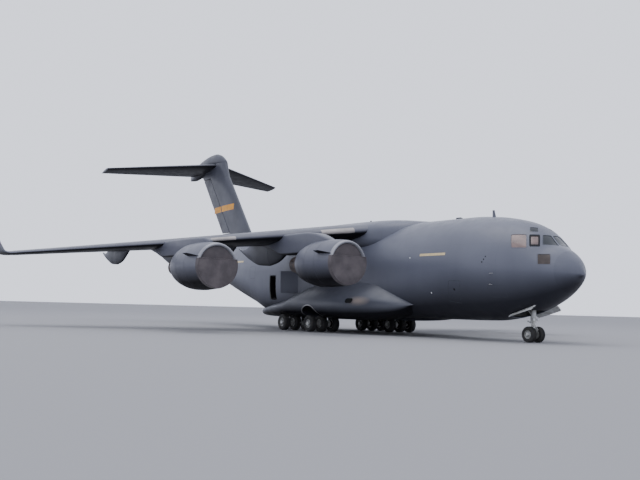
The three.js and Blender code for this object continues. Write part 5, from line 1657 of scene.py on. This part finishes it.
def make_pylon(tag, rows, centre, side):
    """Pylon from the top of a nacelle to the wing's underside."""
    s, y, z = centre
    reach = float(surface_at(WING, y)["s"](0)) + 0.4 - (s + PYLON_START)
    column = smooth_columns(rows)
    rings = []
    for share in np.concatenate([np.linspace(rows[0][0], 0.4, 16), np.linspace(0.45, rows[-1][0], 24)]):
        top, bottom, half = column(share)[0]
        here = s + PYLON_START + reach * share
        outline = rounded(-half, half, bottom, top, min(0.16, half * 0.8), 5)
        rings.append(np.column_stack([np.full(len(outline), here), y + outline[:, 0], z + outline[:, 1]]))
    settle(loft(f"pylon_skin_{tag}", flip(rings, side), "cowl"), nodes=(f"pylon_{tag}",), sharp=35)


def make_engines():
    """The four engines with their nacelles, covers and pylons."""
    outer, inner = smooth_columns(COWL, np.sqrt), smooth_columns(INTAKE, np.sqrt)
    core, plug = smooth_columns(CORE), smooth_columns(PLUG)
    for name, side in SIDES:
        for label, y, s, z in ENGINES:
            centre, tag = (s, y * side, z), f"{label}_{name}"
            make_lip(tag, centre, outer, inner)
            make_cowl(tag, centre, outer, inner, side)
            make_core(tag, centre, core, plug)
            make_cover(tag, centre)
            make_pylon(tag, PYLON[label], (s, y, z), side)


make_engines()


# Tail

def fin_at(z):
    """Chord and half thickness of the fin at a height, as functions of the chord share."""
    t = (z - FIN["low"]["z"]) / (FIN["high"]["z"] - FIN["low"]["z"])
    le, te, thick = (FIN["low"][k] + (FIN["high"][k] - FIN["low"][k]) * t for k in ("le", "te", "thick"))
    chord = te - le
    return dict(chord=chord, s=lambda f: le + f * chord, half=lambda f: half_thickness(f) * thick * chord)


def fin_ring(z):
    """Section of the fin at a height."""
    here = fin_at(z)
    return np.vstack([np.column_stack([here["s"](f), k * here["half"](f), np.full_like(f, z)])
                      for f, k in ((CHORD, 1), (CHORD[:0:-1], -1))])


def on_fin(side):
    """Surface of the fin: s and z give a point."""
    def place(s, z, depth):
        here = fin_at(z)
        share = np.clip((s - here["s"](0)) / here["chord"], 0, 1)
        return np.column_stack([s, side * (here["half"](share) - depth), z])
    return place


def fin_tool(z0, z1, lead, extra):
    """Cutting block behind the rudder's front, between two heights."""
    rings = []
    for z in (z0, z1):
        here = fin_at(z)
        s = here["s"](RUDDER["front"]) - lead * here["half"](RUDDER["front"]) - extra
        rings.append([(s, -2, z), (s + 6, -2, z), (s + 6, 2, z), (s, 2, z)])
    return loft("tool", rings, "bay")


def fin_nose(z, grow, count=32, start=0.0, sweep=2 * np.pi, close=False):
    """Section of the rudder's round nose, or the part of it that the angles take."""
    here = fin_at(z)
    radius = here["half"](RUDDER["front"]) * NOSE_SHARE + grow
    angle = start + np.arange(count) / (count - 1 if close else count) * sweep
    return np.column_stack([here["s"](RUDDER["front"]) + radius * np.cos(angle) * 1.25,
                            radius * np.sin(angle), np.full(count, z)])


def make_fin():
    """Fin with the cap that runs up into the bullet, and the thin plate over the rudder."""
    fin = loft("fin_skin", [fin_ring(z) for z in np.linspace(FIN["low"]["z"], FIN["high"]["z"], 24)], "tail")
    low, high = RUDDER["low"], RUDDER["high"]
    carve(fin, [fin_tool(low - 0.08, high + 0.12, 0.5, CLEAR),
                loft("tool", [fin_nose(z, CLEAR) for z in (low - 0.08, high + 0.05)], "bay"),
                body_block("tool", 35, TAIL_END, -SEAM, BODY_SIDES, 0.4)])
    front = CHORD[:21]
    chord = FIN["high"]["te"] - FIN["high"]["le"]
    foot, top = FIN_CAP[0][0], FIN_CAP[-1][0]
    caps = []
    for z, lead in FIN_CAP:
        half = half_thickness(front) * FIN["high"]["thick"] * chord * (1 + 0.35 * (z - foot) / (top - foot))
        side_line = np.column_stack([lead + front * 2 * (FIN_CAP_END - lead), half, np.full(21, z)])
        caps.append(np.vstack([side_line, (side_line * (1, -1, 1))[:0:-1]]))
    # A thin plate under the fin's fixed tip closes the view through the gap over the rudder
    seal = [[(here["s"](f), y, z) for f, y in ((0.78, -0.02), (0.985, -0.01), (0.985, 0.01), (0.78, 0.02))]
            for z, here in ((z, fin_at(z)) for z in (high + 0.015, high + 0.14))]
    parts = [fin, loft("cap", caps, "tail"), loft("seal", seal, "tail")]
    settle(join("fin_skin", parts), nodes=("fin",), sharp=26)


def make_rudder():
    """Rudder with its round nose, and the yellow band, which crosses its hinge line in two pieces."""
    share = RUDDER["front"] + (1 - RUDDER["front"]) * (1 - np.cos(np.linspace(0, np.pi, 17))) / 2
    rings = []
    for z in np.linspace(RUDDER["low"], RUDDER["high"], 10):
        here = fin_at(z)
        left = np.column_stack([here["s"](share), here["half"](share), np.full(17, z)])
        nose = fin_nose(z, 0, 15, -np.pi / 2, -np.pi, True)
        rings.append(np.vstack([left, (left * (1, -1, 1))[::-1], nose]))
    settle(loft("rudder_skin", rings, "tail"), "rudder", ("rudder",), 30)

    for name, side in SIDES:
        for label, body_name, s0, s1 in BAND_ENDS:
            corners = [(s, band_z(s, edge)) for s, edge in ((s0, 0), (s1, 0), (s1, 1), (s0, 1))]
            band = plate(f"yellow_band_{label}_{name}", dense(np.array(corners), 0.2), on_fin(side),
                         -0.004, 0.01, "yellow")
            settle(band, body_name, sharp=40)


def band_z(s, edge):
    """Lower and upper edge of the fin's yellow band, which rises slightly forward."""
    return BAND["z"] + BAND["rise"] * (BAND["datum"] - s) + edge * BAND["width"]


def make_tailplane():
    """Tailplane with the bullet at its middle, and the elevators."""
    front, inner, outer = (ELEVATOR[key] for key in ("front", "inner", "outer"))
    y0, y1 = inner - ELEVATOR["gap"], outer + ELEVATOR["gap"]
    parts = []
    for _, side in SIDES:
        stations = np.linspace(0, TAILPLANE["tip"]["y"], 14)
        half = loft("half", [surface_ring(TAILPLANE, y) for y in stations], "tail")
        carve(half, [behind_line(TAILPLANE, front, y0, y1, 0.5, CLEAR, "bay"),
                     nose_bar(TAILPLANE, front, y0, y1, CLEAR, "bay")])
        if side < 0:
            mirror(half)
        parts.append(half)
    rows = smooth_columns(BULLET)
    rings = []
    for s in np.linspace(BULLET[0][0], BULLET[-1][0], 44):
        half, top, bottom = rows(s)[0]
        angle = np.arange(48) / 48 * 2 * np.pi
        rings.append(np.column_stack([np.full(48, s), half * np.cos(angle),
                                      (top + bottom) / 2 + (top - bottom) / 2 * np.sin(angle)]))
    parts.append(loft("bullet", rings, "tail"))
    settle(join("tailplane_skin", parts), nodes=("tailplane",), sharp=28)
    for name, side in SIDES:
        skin = control_surface(f"elevator_skin_{name}", TAILPLANE, front, inner, outer, side, "tail")
        settle(skin, f"elevator_{name}", (f"elevator_{name}",), 30)


make_fin()
make_rudder()
make_tailplane()


# Flight deck and hold inside

for key, paint in (("flight_deck", "inside"), ("cargo_floor", "deck")):
    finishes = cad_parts[key].data.materials
    finishes.clear()
    finishes.append(PAINT[paint])


# Small fittings on the skin

# Formation strips and panel outlines: fore and aft end, lower and upper edge; a panel's line has a width too
STRIPS = ((8.73, 11.18, 5.40, 5.56), (35.05, 36.6, 5.66, 5.80))
PANELS = ((4.3, 5.4, 2.75, 3.45, 0.014), (32.6, 33.5, 4.2, 5.2, 0.012))
# Service door on the right side: its corners, and its latch
SERVICE_DOOR = ((8.02, 2.35), (7.42, 3.72), (8.40, 3.73), (8.90, 2.47))
SERVICE_LATCH = (8.02, 8.16, 3.13, 3.27)
# Flood lamps: s, z and radius
FLOOD_LAMPS = ((12.15, 5.32, 0.05), (10.24, 2.97, 0.055))
# Air data probes and static ports: s and z
PROBES = ((4.99, 4.19), (5.14, 3.55))
PORTS = [(5.40 + 0.11 * k, 5.22 - 0.17 * k) for k in range(3)]
# Aerials on the crown: s, height, chord and finish; the beacon's s, and the top of the wing fairing there
AERIALS = ((7.50, 0.50, 0.34, "plain"), (10.4, 0.16, 0.9, "joint"), (20.6, 0.30, 0.36, "joint"))
BEACON_S = 22.6
CROWN_TOP = 8.41


def on_skin(s, z, side):
    """Point of the body's side and the direction away from it."""
    point = on_side(side)(np.array([s]), np.array([z]), 0.0)
    return point[0], body_normal(point)[0]


def side_fittings(name, side):
    """Formation strips, panel outlines, lamps, probes and ports of one side."""
    place = on_side(side)
    strips = [plate("strip", dense(rounded(*strip, 0.02), 0.3), place, -0.008, 0.02, "strip")
              for strip in STRIPS]
    settle(join(f"formation_strips_{name}", strips), sharp=40)

    lines = [shut_line(rounded(*edges, 0.08), side, width) for *edges, width in PANELS]
    if side < 0:
        lines.append(shut_line(np.array(SERVICE_DOOR), side, 0.03))
        lines.append(plate("latch", rounded(*SERVICE_LATCH, 0.06), place, -0.006, 0.01, "seal"))
    settle(join(f"panel_lines_{name}", lines), sharp=40)

    lamps = [dome("lamp", *on_skin(s, z, side), radius, 0.035, "clear_lens") for s, z, radius in FLOOD_LAMPS]
    settle(join(f"flood_lamps_{name}", lamps), sharp=40)

    probes = []
    for s, z in PROBES:
        point, normal = on_skin(s, z, side)
        foot, tip = point - normal * 0.02, point + normal * 0.16
        probes.append(tube("mast", [foot, tip], 0.022, 10, "aluminium"))
        probes.append(tube("head", [tip, tip + (-0.28, 0, 0.0)], 0.014, 10, "aluminium"))
    probes += [dome("port", *on_skin(s, z, side), 0.045, 0.012, "seal") for s, z in PORTS]
    settle(join(f"air_data_probes_{name}", probes), sharp=40)


def aerial(s, height, chord, paint):
    """Blade aerial that leans aft and narrows upwards."""
    top = CROWN_TOP if s > FAIRING[0][0] else float(on_crown(np.array([s]), np.array([0.0]), 0.0)[0][2])
    f = CHORD[::4]
    rings = []
    for k in np.linspace(0, 1, 6):
        width = chord * (1 - 0.45 * k)
        half = half_thickness(f) * 0.16 * width
        near = np.column_stack([s + 0.45 * chord * k + f * width, half,
                                np.full_like(f, top - 0.03 + height * k)])
        rings.append(np.vstack([near, (near * (1, -1, 1))[:0:-1]]))
    return loft("blade", rings, paint)


def make_fittings():
    """Everything small on the body."""
    for name, side in SIDES:
        side_fittings(name, side)
    beacon = dome("beacon", (BEACON_S, 0, CROWN_TOP - 0.01), (0, 0, 1), 0.12, 0.14, "red_lens")
    settle(join("crown_antennas", [aerial(*row) for row in AERIALS] + [beacon]), sharp=40)


make_fittings()

# Unpainted lengths of the wing's leading edge, inner and outer y, and how far they reach round it
EDGE_STRIPS = ((3.9, 6.0), (11.4, 13.1))
EDGE_UNDER, EDGE_OVER = -0.06, 0.15
# Inlet of the power unit on the right pod: its mouth and the outer edge of its ring, with their corner radius
INLET_MOUTH = (16.65, 17.37, 2.20, 2.54, 0.16)
INLET_RING = (16.59, 17.43, 2.15, 2.60, 0.20)


def on_leading_edge(side):
    """Front of the wing: u is the root of the chord share, above zero on top and below zero underneath."""
    def point(u, y):
        here, share = surface_at(WING, y), np.minimum(u * u, 1.0)
        k = np.where(u > 0, 1.0, UNDERSIDE)
        return np.column_stack([here["s"](share), side * y,
                                here["z"](share) + np.sign(u) * k * here["half"](share)])

    def place(u, y, depth):
        along = point(u + 0.01, y) - point(u - 0.01, y)
        away = np.column_stack([-along[:, 2], np.zeros_like(u), along[:, 0]])
        away /= np.linalg.norm(away, axis=1)[:, None]
        return point(u, y) - away * depth
    return place


def make_edges():
    """Leading edge strips, and the inlet of the right gear pod, its mouth a near-black plate of painted
    shade.
    """
    for name, side in SIDES:
        strips = []
        for y0, y1 in EDGE_STRIPS:
            outline = np.array([(EDGE_UNDER, y0), (EDGE_OVER, y0), (EDGE_OVER, y1), (EDGE_UNDER, y1)])
            strips.append(plate("edge", dense(outline, 0.05), on_leading_edge(side), -0.004, 0.012, "edge"))
        settle(join(f"leading_edge_strips_{name}", strips), sharp=40)
    mouth, around = dense_pair(rounded(*INLET_MOUTH), rounded(*INLET_RING), 2)
    # The mouth is a near-black plate on the skin: painted shade for the inside of the inlet
    hole = plate("hole", mouth, on_pod(-1), -0.004, 0.02, "black")
    ring = rim("ring", mouth, around, on_pod(-1), -0.03, 0.02, "pod")
    settle(join("power_unit_inlet", [hole, ring]), sharp=40)


make_edges()


# Stage and light

FLOOR_COLOUR = "939395"
FLOOR_RADIUS = 600
SKY_COLOUR = "e2e6f4"
SKY_STRENGTH = 1.75
# Soft lamps: name, place, the point that they face, size in metres, power in watts, colour
LAMPS = (
    ("overhead", (2, -6, 45), (0, 0, 2), 36, 8000, "ffffff"),
    ("front", (45, -40, 50), (4, 0, 2), 26, 4500, "fbfaff"),
)


def make_stage():
    """Pale floor, plain sky and two soft lamps."""
    made, _, _ = surface("pale_floor", Base_Color=linear(FLOOR_COLOUR), Roughness=0.95,
                         Specular_IOR_Level=0.05)
    data = bpy.data.meshes.new("floor")
    mesh = bmesh.new()
    bmesh.ops.create_circle(mesh, cap_ends=True, cap_tris=True, segments=128, radius=FLOOR_RADIUS)
    mesh.to_mesh(data)
    mesh.free()
    data.materials.append(made)
    floor = bpy.data.objects.new("floor", data)
    bpy.context.scene.collection.objects.link(floor)

    world = bpy.data.worlds.new("studio")
    bpy.context.scene.world = world
    world.use_nodes = True
    sky = world.node_tree.nodes["Background"]
    sky.inputs["Color"].default_value = linear(SKY_COLOUR)
    sky.inputs["Strength"].default_value = SKY_STRENGTH

    for name, place, target, size, power, colour in LAMPS:
        data = bpy.data.lights.new(name, "AREA")
        data.size = size
        data.energy = power
        data.color = linear(colour)[:3]
        lamp = bpy.data.objects.new(name, data)
        lamp.location = place
        lamp.rotation_euler = (Vector(place) - Vector(target)).to_track_quat("Z", "Y").to_euler()
        bpy.context.scene.collection.objects.link(lamp)


make_stage()
